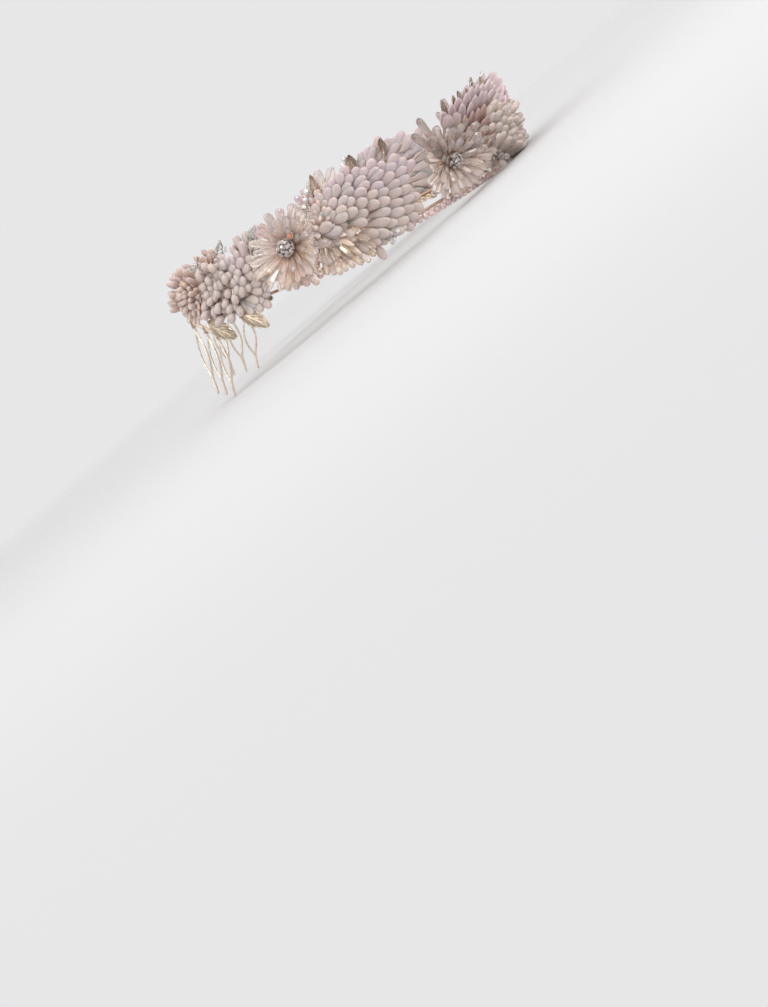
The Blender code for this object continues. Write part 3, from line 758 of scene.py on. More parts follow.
def build_back_spray(side):
    s = Shape(21 if side > 0 else 22)
    for along, height, angle, length, width in BACK_EDGE:
        form = PETAL_LONG if length > 12.0 else PETAL_ROUND
        petal_at_tip(s, form, along, height, angle + s.rand(-2, 2), 9.0 + s.rand(-2, 3), length, width, 3.0,
                     VINE_OUT + s.rand(0.0, 0.5), frosted_paint(s, along, height, 0.0), bend=0.05, roll=s.rand(-6, 6))
    fan(s, BACK_ORIGIN, reach_table(BACK_EDGE + ((188.0, 15.0, 110),), BACK_ORIGIN), 4.9, 4.5, 10.8, 5.2, 4.0, (12.0, 30.0),
        VINE_OUT + 0.5, PETAL_ROUND, frosted_paint, rows=8, inset=3.4, least=1.5, pile=0.3)
    fan(s, BACK_ORIGIN, reach_table(BACK_EDGE + ((188.0, 15.0, 110),), BACK_ORIGIN), 5.0, 4.8, 10.0, 5.0, 2.8, (5.0, 24.0),
        0.5, PETAL_ROUND, frosted_paint, rows=7, inset=5.4, least=1.0, pile=0.2)
    # bulbs that stand out over the roots of the fan, none nearer to another than their width
    spots = []
    while len(spots) < 54:
        for _ in range(400):
            a, h = s.rand(164.5, 188.5), s.rand(-9.0, 13.5)
            if math.hypot((a - 177.5) / 12.5, (h - 2.0) / 11.5) < 1.0 and all(math.hypot(a - x, h - y) > 3.5 for x, y in spots):
                spots.append((a, h))
                break
        else:
            break
    for a, h in sorted(spots):
        angle = math.degrees(math.atan2(h - 0.0, 193.0 - a)) + s.rand(-12, 12)
        far = (188.5 - a) / 23.5
        direction, normal = aim(a, angle, 54.0 - 24.0 * far + s.rand(-7, 7))
        put(s, PETAL_ROUND, wall(a, h, 1.0), direction, normal, (5.5 * s.rand(0.94, 1.1), 4.8, 10.2 * s.rand(0.92, 1.08)),
            frosted_paint(s, a, h, 0.5), 0, True, s.rand(0.0, 0.08), s.rand(-0.05, 0.05), s.rand(-20, 20))
    # petals that hang over the headband, next to the side flower
    for along, height, angle, length, width in BACK_LOW:
        petal_at_tip(s, PETAL_LONG, along, height, angle, 9.0, length, width, 3.0, VINE_OUT + 0.2,
                     frosted_paint(s, along, height, 0.0), bend=0.05, roll=s.rand(-6, 6))
    emit(s, "petals_back_" + ("r" if side > 0 else "l"), [FROSTED], side,
         "spray_back_" + ("r" if side > 0 else "l"))


# the crest: height of the outer tips and their direction, by distance from the front centre
CREST = ((0.0, 84.0, 90), (8.0, 87.5, 70), (15.0, 91.0, 62), (28.0, 96.5, 78), (37.0, 95.5, 92), (45.0, 93.0, 101),
         (51.0, 91.0, 107), (59.0, 86.5, 112), (64.0, 82.5, 116))


def crest_paint(shape, along, height, share):
    light = mix(MAUVE_LIGHT, PINK_WHITE, shape.rand(0, 1))
    dark = mix(MAUVE, SHADE, shape.rand(0, 0.6))
    if share > 0.3 and along > 34:
        dark = mix(AMBER, MAUVE, shape.rand(0, 0.5))
        light = mix(PEACH, MAUVE_LIGHT, shape.rand(0.15, 0.55)) * 0.64
    elif share > 0.3:
        dark = mix(np.array([0.62, 0.48, 0.41]), CREAM, shape.rand(0, 0.6))
        light = mix(np.array([0.79, 0.68, 0.61]), PINK_WHITE, shape.rand(0.1, 0.6))
    level = 1.0 if along < 34 else 0.86
    # the dark colour is painted shade at each petal's root and the light colour a painted highlight along its rim
    return petal_paint(mix(dark, light, 0.5) * level, dark * level, light * level, 0.9, 1.2)


def build_crest(side):
    s = Shape(31 if side > 0 else 32)
    alongs = [row[0] for row in CREST]
    for k in range(6):
        along = 1.5 + (2.1 if k % 2 else 0.0)
        last = 64.0 - 2.4 * k
        while along < last:
            height = float(np.interp(along, alongs, [row[1] for row in CREST])) - 4.9 * k + s.rand(-1.2, 1.2)
            angle = float(np.interp(along, alongs, [row[2] for row in CREST])) + s.rand(-6, 6)
            share = k / 5
            front = 1.0 - smooth01(np.array([(along - 8.0) / 24.0]))[0]
            tilt = 8.0 + (22.0 + 26.0 * front) * share + s.rand(-3, 4)
            pale = share > 0.3 and along < 34
            petal_at_tip(s, PETAL_ROUND if pale else PETAL_POINTED, along, height, angle, tilt,
                         13.0 * s.rand(0.94, 1.1), (5.2 if pale else 5.4) * s.rand(0.9, 1.1), 4.2 if pale else 2.8,
                         VINE_OUT + 0.4 * k + s.rand(0, 0.3), crest_paint(s, along, height, share), bend=s.rand(0.03, 0.12),
                         roll=s.rand(-14, 14), mat=1 if pale else 0)
            along += 4.7 * s.rand(0.9, 1.08)
    emit(s, "petals_crest_" + ("r" if side > 0 else "l"), [FROSTED, MILKY], side,
         "spray_crest_" + ("r" if side > 0 else "l"))


BROW_ORIGIN = (13.0, 62.0)
BROW_REACH = ((-70, 8), (-40, 12), (0, 12), (46, 13), (86, 14), (122, 13.5))


# petals that stand out over the brow: along and height of the root, direction, tilt, length, width
BROW_PETALS = (
    (2.5, 72.0, 82, 44, 13.0, 4.8), (8.5, 73.0, 80, 40, 13.0, 4.8), (15.0, 73.0, 82, 38, 12.5, 4.6), (21.5, 72.0, 90, 36, 12.0, 4.6),
    (5.5, 69.0, 70, 58, 13.5, 4.8), (11.8, 69.5, 80, 54, 13.0, 4.8), (18.0, 68.5, 95, 50, 12.0, 4.4),
    (2.0, 66.0, 40, 70, 13.5, 4.8), (8.5, 66.0, 60, 70, 13.0, 4.8), (14.8, 65.0, 110, 66, 12.0, 4.4),
    (5.0, 62.5, -10, 72, 11.5, 4.6), (11.5, 62.0, 200, 72, 11.0, 4.6), (2.0, 60.5, -50, 62, 9.0, 4.4), (8.0, 60.0, -90, 60, 8.0, 4.2),
)


def build_brow_spray(side):
    s = Shape(41 if side > 0 else 42)
    fan(s, BROW_ORIGIN, BROW_REACH, 4.6, 4.2, 9.0, 4.3, 2.5, (18.0, 40.0), VINE_OUT + 0.4, PETAL_POINTED,
        lambda sh, a, h, share: crest_paint(sh, 10.0, h, 0.5), rows=3, least=3.0)
    for along, height, angle, tilt, length, width in BROW_PETALS:
        direction, normal = aim(along, angle + s.rand(-6, 6), tilt + s.rand(-5, 5))
        put(s, PETAL_ROUND, wall(along + s.rand(-0.5, 0.5), height, 1.2), direction, normal, (width, 4.0, length * s.rand(0.94, 1.06)),
            crest_paint(s, 10.0, height, 0.5), 1, True, s.rand(0.02, 0.10), s.rand(-0.04, 0.04), s.rand(-15, 15))
    emit(s, "petals_brow_" + ("r" if side > 0 else "l"), [FROSTED, MILKY], side,
         "spray_brow_" + ("r" if side > 0 else "l"))


# ================================================================ crystal flowers
# name: along, height
FLOWERS = {"side": (135.5, 25.6), "front": (57.8, 61.0), "brow": (26.5, 60.0)}
PAVE = {"side": 4.3, "front": 3.6, "brow": 2.5}
# outer petals: direction, reach from the centre, width, and how warm their glass is (0 clear, 1 honey), painted violet
# sheen
FLOWER_SIDE = (
    (157, 17.6, 4.6, 0.35, 1.0), (141, 17.4, 4.6, 0.75, 0.5), (123, 18.6, 5.6, 0.10, 0.1), (101, 19.6, 6.0, 0.15, 0.1),
    (78, 20.6, 6.0, 0.10, 0.2), (62, 19.6, 5.6, 0.55, 0.1), (42, 18.0, 5.0, 0.6, 0.0), (22, 19.0, 4.8, 0.5, 0.0),
    (2, 21.0, 5.0, 0.45, 0.1), (-16, 21.5, 5.0, 0.55, 0.0), (-34, 22.5, 4.8, 0.7, 0.0), (-50, 22.0, 4.8, 0.75, 0.0),
    (-64, 21.0, 4.8, 0.8, 0.0), (-78, 21.0, 4.8, 0.8, 0.0), (-92, 22.0, 4.8, 0.75, 0.0), (-107, 23.0, 4.8, 0.7, 0.0),
    (-124, 24.8, 4.8, 0.6, 0.0), (-143, 24.4, 4.8, 0.5, 0.0), (-163, 21.5, 4.6, 0.4, 0.0), (177, 18.0, 4.4, 0.35, 0.0),
)
FLOWER_FRONT = (
    (151, 26.5, 4.8, -0.8, 0.0), (136, 27.0, 5.0, -0.8, 0.0), (170, 15.5, 7.0, 0.75, 0.0), (141, 17.0, 7.0, 0.65, 0.0),
    (116, 19.5, 6.6, 0.35, 0.15), (99, 21.0, 6.6, 0.25, 0.2), (83, 21.0, 6.2, 0.2, 0.15), (66, 20.5, 6.0, 0.25, 0.1),
    (48, 22.0, 5.6, 0.4, 0.0), (34, 24.0, 5.2, 0.4, 0.0), (20, 25.5, 5.2, 0.45, 0.0), (6, 25.5, 5.2, 0.45, 0.0),
    (-8, 24.0, 5.2, 0.45, 0.0), (-22, 22.0, 5.0, 0.5, 0.0), (-37, 20.0, 4.8, 0.5, 0.0), (-52, 18.5, 4.6, 0.45, 0.0),
    (-68, 17.8, 4.8, 0.35, 0.1), (-86, 18.0, 5.0, 0.3, 0.2), (-106, 19.0, 5.6, 0.2, 0.2), (-126, 19.0, 5.4, 0.3, 0.1),
    (-146, 17.0, 5.0, 0.5, 0.0), (-168, 14.5, 5.4, 0.6, 0.0),
)
FLOWER_BROW = tuple((a, 13.5 if a > 0 else 9.5, 4.4, 0.5, 0.0) for a in (172, 148, 124, 100, 76, 52, 28, 4, -22, -48, -74, -100, -128, -156))
FLOWER_TABLES = {"side": FLOWER_SIDE, "front": FLOWER_FRONT, "brow": FLOWER_BROW}


def glass_colour(shape, warm, violet_sheen):
    cool = mix(CLEAR, SMOKE, shape.rand(0.0, 0.12) + (0.75 if warm < 0 else 0.0))
    hot = mix(np.array([0.93, 0.66, 0.56]), HONEY, shape.rand(0.0, 0.6))
    pale = mix(hot, np.array([1.0, 0.925, 0.87]), 0.78)
    col = mix(cool, pale, min(1.0, max(0.0, warm * 1.2 + shape.rand(-0.1, 0.1))))
    # painted sheen: the glass is tinted violet by the violet sheen amount
    col = mix(col, np.array([0.88, 0.62, 0.74]), violet_sheen * 0.5)
    root = mix(col, mix(hot, np.array([1.0, 0.84, 0.70]), 0.5), 0.75)
    root = mix(root, np.array([0.78, 0.44, 0.30]), max(0.0, warm - 0.35) * 0.9)
    return petal_paint(col, root, None, 0.0, 0.6)


def build_flower(name, side):
    tag = "r" if side > 0 else "l"
    along, height = FLOWERS[name]
    table = FLOWER_TABLES[name]
    seeds = {"side": 50, "front": 60, "brow": 70}
    s = Shape(seeds[name] + (0 if side > 0 else 1))
    e, d, n = frame_at(deg_at(along))
    centre = wall(along, height, HUB_OUT + HUB_THICK / 2)
    small = name == "brow"
    layers = ((1.03, 10.0, 0.0), (0.80, 24.0, 0.5), (0.54, 42.0, 0.2)) if not small else ((1.0, 14.0, 0.0), (0.72, 36.0, 0.5))
    count = len(table)
    for layer, (share, tilt, offset) in enumerate(layers):
        for i in range(count):
            if layer == 2 and i % 2:
                continue
            angle, reach, width, warm, violet_sheen = table[i]
            if offset:
                nxt = table[(i + 1) % count]
                gap = (nxt[0] - angle + 180) % 360 - 180
                if abs(gap) > 40:
                    continue
                angle = angle + gap * offset
                reach = (reach + nxt[1]) / 2
                warm = (warm + nxt[3]) / 2
                violet_sheen = 0.0
            angle += s.rand(-3, 3)
            a = math.radians(angle)
            t = tilt + s.rand(-4, 4) - (4.0 if math.sin(a) < 0 and layer == 0 else 0.0)
            r0 = 2.2 + 0.3 * layer
            root = centre + (e * math.cos(a) + d * math.sin(a)) * r0 + n * (0.3 + 0.75 * layer)
            direction, normal = aim(along, angle, t)
            length = (reach * share - r0) / math.cos(math.radians(t))
            wide = width * (0.86 if layer == 0 else (0.74 if layer == 1 else 0.62))
            form = CRYSTAL_BROAD if wide > 5.0 else (CRYSTAL if layer < 2 else CRYSTAL_SLIM)
            put(s, form, root, direction, normal, (wide * s.rand(0.92, 1.08), wide * 0.60, length * s.rand(0.90, 1.08)),
                glass_colour(s, warm, violet_sheen), 0, False, 0.0, 0.0, s.rand(-10, 10))
    emit(s, "crystals_" + name + "_" + tag, [CRYSTALS], side, "flower_" + name + "_" + tag)

    # the ball: small set stones over a silver cup
    p = Shape(seeds[name] + 5 + (0 if side > 0 else 1))
    radius = PAVE[name]
    ball = wall(along, height, HUB_OUT + HUB_THICK + 0.5 + radius)
    put(p, ball_form(20, 12), ball, n, unit(np.cross(n, e)), (radius * 0.86,) * 3, mix(SILVER_C, BRONZE_C, 0.6) * 0.35, 1, True)
    golden = math.pi * (3 - math.sqrt(5))
    total = 46 if name == "side" else (40 if name == "front" else 26)
    stone = radius * (0.222 if name != "brow" else 0.27)
    for i in range(total):
        z = 1 - 1.45 * (i + 0.5) / total
        r = math.sqrt(max(0.0, 1 - z * z))
        a = golden * i
        out = n * z + e * (r * math.cos(a)) + d * (r * math.sin(a))
        out = unit(out + np.array([p.rand(-0.16, 0.16) for _ in range(3)]))
        across = unit(np.cross(out, d + e * 0.3))
        at = ball + out * radius * 0.92
        tone = p.rand(0.72, 1.05)
        put(p, STONE, at, out, across, (stone, stone, stone * 1.25), np.clip(mix(mix(CLEAR, OLIVE, 0.35), SMOKE, p.rand(0.2, 0.9)) * tone * (0.46 if i % 3 == 0 else 0.92), 0, 1), 0, False,
            roll=p.rand(0, 45))
        for c in range(3):
            b = math.radians(120 * c + 40 * i)
            claw = at + (across * math.cos(b) + np.cross(out, across) * math.sin(b)) * stone * 1.02 + out * stone * 0.12
            put(p, BALL_SMALL, claw, out, across, (stone * 0.2,) * 3, mix(SILVER_C, GOLD_C, 0.4) * 0.85, 1, True)
    emit(p, "pave_ball_" + name + "_" + tag, [RHINESTONE, SILVER], side, "pave_" + name + "_" + tag)


# ================================================================ bead clusters
def bead_paint(shape, dark=0.5):
    tip = mix(mix(PEACH, CREAM, shape.rand(0.3, 1.0)), PINK_WHITE, shape.rand(0.1, 0.9)) * shape.rand(0.92, 1.08)
    # painted shadow: dark sets how far a bead is darkened towards the shadow brown, and each root is painted in it
    tip = mix(tip, SHADOW_BROWN, dark * shape.rand(0.0, 0.3))
    return petal_paint(tip, mix(SHADOW_BROWN, tip, 0.3), None, 0.0, 1.1)


END_TUFT = (
    # along, height, direction, tilt, out
    (221.0, -3.0, 180, 58, 3.4), (219.0, 0.5, 165, 60, 3.2), (220.0, -6.5, 195, 58, 3.2), (216.0, 3.5, 150, 62, 3.0),
    (216.0, -9.0, 215, 60, 2.8), (213.5, -2.5, 180, 76, 4.2), (213.0, 2.0, 140, 72, 3.6), (213.0, -6.5, 215, 72, 3.6),
    (223.0, -0.5, 172, 46, 2.2), (223.0, -5.0, 188, 46, 2.2), (219.0, 4.0, 150, 44, 1.8), (219.5, -9.0, 208, 44, 1.8),
    (210.0, 6.0, 110, 62, 2.6), (205.0, 7.5, 95, 58, 2.4), (200.5, 7.0, 80, 56, 2.4), (197.0, 4.5, 60, 60, 2.8),
    (196.0, 0.0, 20, 62, 3.0), (197.0, -5.0, -20, 62, 3.0),
)


def honey_paint(shape):
    tip = mix(np.array([0.80, 0.62, 0.48]), PINK_WHITE, shape.rand(0.0, 0.45)) * shape.rand(0.94, 1.08)
    # the brown root is painted shade and the pale rim colour a painted highlight
    return petal_paint(tip, mix(np.array([0.52, 0.32, 0.20]), tip, 0.3), np.array([0.88, 0.78, 0.70]), 0.3, 0.8)


def honey_glass(shape):
    col = mix(np.array([1.0, 0.85, 0.70]), np.array([1.0, 0.90, 0.83]), shape.rand(0, 1))
    return petal_paint(col, mix(col, np.array([0.86, 0.58, 0.38]), 0.6), None, 0.0, 0.6)


def build_end_cluster(side):
    tag = "r" if side > 0 else "l"
    s = Shape(81 if side > 0 else 82)
    centre = (207.0, -2.5)
    # rings of drops round the centre: radius over the wall, count, tilt outwards
    for radius, count, tilt, length in ((1.5, 4, 78, 6.6), (5.0, 9, 62, 6.6), (8.6, 14, 46, 6.6), (12.2, 18, 30, 6.8), (15.4, 17, 16, 7.0)):
        for i in range(count):
            a = 360.0 * i / count + radius * 17
            t = math.radians(a)
            wide = 1.12 if abs(math.cos(t)) > 0.6 else 0.86
            tip_a = centre[0] - (radius + s.rand(-0.6, 0.6)) * math.cos(t) * wide
            tip_h = centre[1] + (radius + s.rand(-0.6, 0.6)) * math.sin(t) * 0.86
            if tip_a > 224.5:
                continue
            petal_at_tip(s, DROP, tip_a, tip_h, a + s.rand(-8, 8), tilt + s.rand(-8, 8), length, 3.0 * s.rand(0.9, 1.1),
                         3.0, 0.9 + (15.4 - radius) * 0.14, bead_paint(s), roll=s.rand(0, 40))
    # drops that stand out past the end of the band
    for along, height, angle, tilt, out in END_TUFT:
        direction, normal = aim(along, angle + s.rand(-8, 8), tilt + s.rand(-6, 6))
        put(s, DROP, wall(along, height, out), direction, normal, (3.1, 3.1, 7.4 * s.rand(0.92, 1.08)), bead_paint(s), 0, True)
    # narrow petals that leave downwards, over the end leaf
    for angle, reach in ((-118, 12), (-104, 14), (-90, 15.5), (-76, 17), (-62, 19.5), (-50, 21), (-40, 20), (-30, 18.5), (-20, 17)):
        t = math.radians(angle)
        petal_at_tip(s, PETAL_NARROW, centre[0] - reach * math.cos(t), centre[1] + reach * math.sin(t) * 0.8, angle, 14 + s.rand(-3, 5),
                     10.5, 3.0, 2.0, 1.6 + s.rand(0, 0.6), bead_paint(s, 0.2), bend=0.03)
    emit(s, "beads_end_" + tag, [PEARL], side, "cluster_end_" + tag)


SIDE_BEADS = (
    # along, height, direction, tilt
    (121.0, 47.5, 100, 30), (118.0, 44.0, 80, 40), (122.5, 43.0, 110, 35), (119.5, 39.5, 70, 50), (124.0, 38.5, 120, 40),
    (115.5, 39.0, 50, 45), (121.0, 35.5, 90, 60), (117.0, 34.5, 30, 55), (113.0, 35.0, 20, 45), (119.5, 31.0, 0, 60),
    (112.5, 31.0, 0, 45), (108.5, 33.5, 10, 40), (116.0, 27.5, -20, 50), (110.0, 27.5, -10, 40), (105.0, 29.0, 0, 35),
    (121.5, 51.5, 105, 20), (124.5, 48.0, 120, 20),
)
# narrow honey petals between the side flower and the low edge: direction, reach from the knot
SIDE_HONEY = (
    (14, 15, 0), (2, 20, 0), (-8, 24, 0), (-16, 27, 0), (-24, 28, 1), (-31, 27, 0), (-38, 25, 1), (-46, 23, 0), (-55, 22, 1), (-63, 22, 0), (-71, 21, 0), (-80, 20, 0),
    (-4, 14, 0), (-20, 18, 0), (-35, 18, 0), (-50, 15, 0), (-12, 11, 0), (-42, 10, 0), (-28, 22, 0), (-12, 18, 0),
)


def build_side_cluster(side):
    tag = "r" if side > 0 else "l"
    s = Shape(91 if side > 0 else 92)
    for along, height, angle, tilt in SIDE_BEADS:
        petal_at_tip(s, DROP, along + s.rand(-0.5, 0.5), height + s.rand(-0.5, 0.5), angle, tilt, 7.0, 2.9 * s.rand(0.9, 1.12), 2.9, 2.2,
                     bead_paint(s, 0.4), roll=s.rand(0, 30))
        petal_at_tip(s, DROP, along + s.rand(-2.4, 2.4), height + s.rand(-2.4, 2.4), angle + s.rand(-30, 30), tilt - 12, 6.4,
                     2.5 * s.rand(0.9, 1.12), 2.5, 1.6, bead_paint(s, 0.6), roll=s.rand(0, 30))
    for angle, reach, low in SIDE_HONEY:
        t = math.radians(angle)
        glass = s.rand(0, 1) < 0.75
        petal_at_tip(s, CRYSTAL if glass else PETAL_NARROW, 121.0 - reach * math.cos(t), 32.0 + reach * math.sin(t),
                     angle + s.rand(-3, 3), 12 + s.rand(0, 8), 14.0, 3.2, 2.3, 2.4 + s.rand(0, 1.6) - 0.6 * low,
                     honey_glass(s) if glass else honey_paint(s), bend=0.03, mat=1 if glass else 0, smooth=not glass)
    # specks of set stone between them
    for angle, reach in ((-9, 22.5), (-21, 16), (-33, 22), (-47, 18), (-15, 11), (4, 15)):
        t = math.radians(angle)
        e, d, n = frame_at(deg_at(121.0 - reach * math.cos(t)))
        put(s, BALL_SMALL, wall(121.0 - reach * math.cos(t), 32.0 + reach * math.sin(t), 5.8), n, e, (0.7,) * 3, SILVER_C, 2, True)
    emit(s, "beads_side_" + tag, [PEARL, CRYSTALS, SILVER], side, "cluster_side_" + tag)


# ================================================================ leaves
# name: along and height of the root, direction, length, width, out, along of the foot, how dark, lobes
LEAVES = {
    "end": (190.5, -13.6, -12, 25.5, 9.8, 1.2, None, 0.0, 7),
    "low": (168.4, -4.4, -21, 22.8, 9.8, 1.4, None, 0.0, 7),
    "filigree": (204.0, 3.5, 80, 13.0, 7.0, -1.0, 201.0, 0.6, 0),
    "rear": (181.5, 9.0, 72, 13.0, 6.0, -0.6, 180.5, 0.3, 0),
    "side": (120.1, 44.8, 109, 14.5, 5.6, -1.0, 117.5, 0.8, 8),
    "mid": (104.0, 53.4, 105, 13.0, 5.2, -1.0, 103.5, 0.8, 7),
    "peak_a": (55.4, 79.4, 106, 10.0, 4.0, -1.0, 52.5, 0.7, 6),
    "peak_b": (48.8, 80.6, 101, 10.0, 3.8, -1.0, 47.0, 0.7, 6),
    "crest": (35.0, 85.0, 101, 13.0, 5.0, -1.0, 35.5, 0.6, 7),
}
LEAF_CENTRE = (0.0, 70.0, 90, 16.5, 7.4, -1.0, 0.0, 0.5, 7)


def add_stem(s, along, height, root, direction, normal, length, foot, colour):
    if foot is None:
        pts = [root - direction * 3.0 + normal * 0.2, root + direction * length * 0.15]
        tube(s, smooth_path(pts, 4), 0.5, colour, 0, 8)
    else:
        end = edge_height(foot) + BAND_UP + BAND_WIRE + 0.1
        pts = [root + direction * 1.5, wall(along + (foot - along) * 0.5, height + (end - height) * 0.4, STEM_OUT - 0.3),
               wall(foot, end, STEM_OUT - 0.5)]
        tube(s, smooth_path(pts, 14), 0.48, colour, 0, 8)


def add_wire_leaf(s, along, height, angle, length, width, out, foot, dark, lobes):
    """An openwork leaf of bent wire: outline, midrib and veins."""
    direction, normal = aim(along, angle, 6.0)
    side = np.cross(normal, direction)
    root = wall(along, height, out)
    colour = mix(SILVER_C, BRONZE_C, dark)

    def at(u, c):
        half = math.sin(math.pi * min(1.0, max(0.0, u)) ** 0.82) ** 0.75 * (1 - 0.15 * u)
        return root + side * (c * half * width / 2) + direction * (u * length) + normal * (0.9 * math.sin(1.6 * math.pi * u) - 0.7 * c * c)

    tube(s, smooth_path([at(u, 0.0) for u in np.linspace(0.0, 1.02, 10)], 26), 0.30, colour, 0, 7)
    for c in (-1, 1):
        tube(s, smooth_path([at(u, c * (1 + 0.07 * math.sin(26 * u))) for u in np.linspace(0.02, 1.0, 20)], 56), 0.27, colour, 0, 7)
        for u in (0.22, 0.34, 0.46, 0.58, 0.70):
            tube(s, [at(u, 0.0), at(u + 0.05, c * 0.5), at(min(1.0, u + 0.12), c * 0.97)], 0.18, colour, 0, 6)
    for u in (0.30, 0.52, 0.74):
        put(s, BALL_SMALL, at(u, 0.0) + normal * 0.4, normal, side, (0.55,) * 3, SILVER_C, 0, True)
    add_stem(s, along, height, root, direction, normal, length, foot, colour)


def add_leaf(s, along, height, angle, length, width, out, foot, dark, lobes):
    direction, normal = aim(along, angle, 6.0 if foot else 3.0)
    side = np.cross(normal, direction)
    root = wall(along, height, out)
    ns, nc = 64, 28
    thick = 0.32
    u = np.linspace(0.012, 0.992, ns + 1)
    c = np.linspace(-1, 1, nc + 1)
    U, C = np.meshgrid(u, c, indexing="ij")
    half = np.abs(np.sin(math.pi * np.clip(U, 0, 1) ** 0.82)) ** 0.72 * (1 - 0.15 * U)
    lobe = 1 + 0.10 * np.cos(2 * math.pi * lobes * (U - 0.16 * np.abs(C))) * smooth01((np.abs(C) - 0.35) / 0.5)
    X = C * half * lobe * width / 2
    Z = U * length + 0.10 * width * np.abs(C) * np.sin(math.pi * U) * 0.8
    phase = lobes * (U - 0.36 * np.abs(C)) + 0.15
    wave = np.cos(2 * math.pi * phase)
    vein = np.clip(wave, 0, 1) ** 3 * smooth01((np.abs(C) - 0.04) / 0.12) * (1 - 0.4 * np.abs(C))
    rib = np.exp(-(C / 0.10) ** 2)
    rim = smooth01((np.abs(C) - 0.82) / 0.15)
    Y = (0.55 * width * 0.5 * (0.30 - 0.55 * C * C) + 0.26 * vein + 0.42 * rib * (1 - 0.6 * U) + 0.24 * rim
         + 0.05 * length * np.sin(1.7 * math.pi * U) + 0.22 * np.sin(7.0 * U + 4.0 * C) * np.abs(C))
    open_ = (wave < -0.20) & (np.abs(C) > 0.16) & (np.abs(C) < 0.70) & (U > 0.14) & (U < 0.82)
    top = root + X[..., None] * side + (Y)[..., None] * normal + Z[..., None] * direction
    low = top - normal * thick
    shade = np.clip(0.30 + 0.75 * np.maximum(np.maximum(vein, rib), rim) + 0.12 * np.sin(19 * U + 7 * C), 0, 1)[..., None]
    deep = mix(GOLD_LEAF_C * 0.26, BRONZE_C * 0.6, dark)
    bright = mix(np.array([0.90, 0.745, 0.565]), np.array([0.56, 0.42, 0.35]), dark)
    col = deep + (bright - deep) * shade
    m = (ns + 1) * (nc + 1)
    idx = np.arange(m).reshape(ns + 1, nc + 1)
    keep = np.ones((ns, nc), bool)
    mid = open_[:-1, :-1] & open_[1:, 1:] & open_[1:, :-1] & open_[:-1, 1:]
    keep[mid] = False
    # slots that meet only at a corner are closed there
    for i in range(ns - 1):
        for j in range(nc - 1):
            if keep[i, j] and keep[i + 1, j + 1] and not keep[i + 1, j] and not keep[i, j + 1]:
                keep[i + 1, j] = True
            if keep[i + 1, j] and keep[i, j + 1] and not keep[i, j] and not keep[i + 1, j + 1]:
                keep[i + 1, j + 1] = True
    quads = []
    for i in range(ns):
        for j in range(nc):
            if not keep[i, j]:
                continue
            a, b, e2, f = idx[i, j], idx[i, j + 1], idx[i + 1, j + 1], idx[i + 1, j]
            quads.append((a, b, e2, f))
            quads.append((a + m, f + m, e2 + m, b + m))
            if j == 0 or not keep[i, j - 1]:
                quads.append((a, f, f + m, a + m))
            if j == nc - 1 or not keep[i, j + 1]:
                quads.append((b, b + m, e2 + m, e2))
            if i == 0 or not keep[i - 1, j]:
                quads.append((a, a + m, b + m, b))
            if i == ns - 1 or not keep[i + 1, j]:
                quads.append((f, e2, e2 + m, f + m))
    verts = np.concatenate([top.reshape(-1, 3), low.reshape(-1, 3)])
    uv = np.stack([np.tile(((C + 1) / 2).ravel(), 2), np.tile(U.ravel(), 2)], 1)
    # the underside is painted darker, at 0.8, as painted shade
    cols = np.concatenate([col.reshape(-1, 3), col.reshape(-1, 3) * 0.8])
    s.add(verts, [q[::-1] for q in quads], [], uv, cols, 0, True)
    add_stem(s, along, height, root, direction, normal, length, foot, mix(GOLD_LEAF_C, BRONZE_C, dark * 0.6))


def build_leaf(name, side):
    tag = "r" if side > 0 else "l"
    s = Shape(100)
    along, height, angle, length = LEAVES[name][:4]
    if side < 0 and name in ("side", "mid", "peak_a", "peak_b", "crest"):
        length *= 0.66
    (add_leaf if LEAVES[name][-1] else add_wire_leaf)(s, along, height, angle, length, *LEAVES[name][4:])
    emit(s, "gold_leaf_" + name + "_" + tag, [LEAF_GOLD], side, "leaf_" + name + "_" + tag)


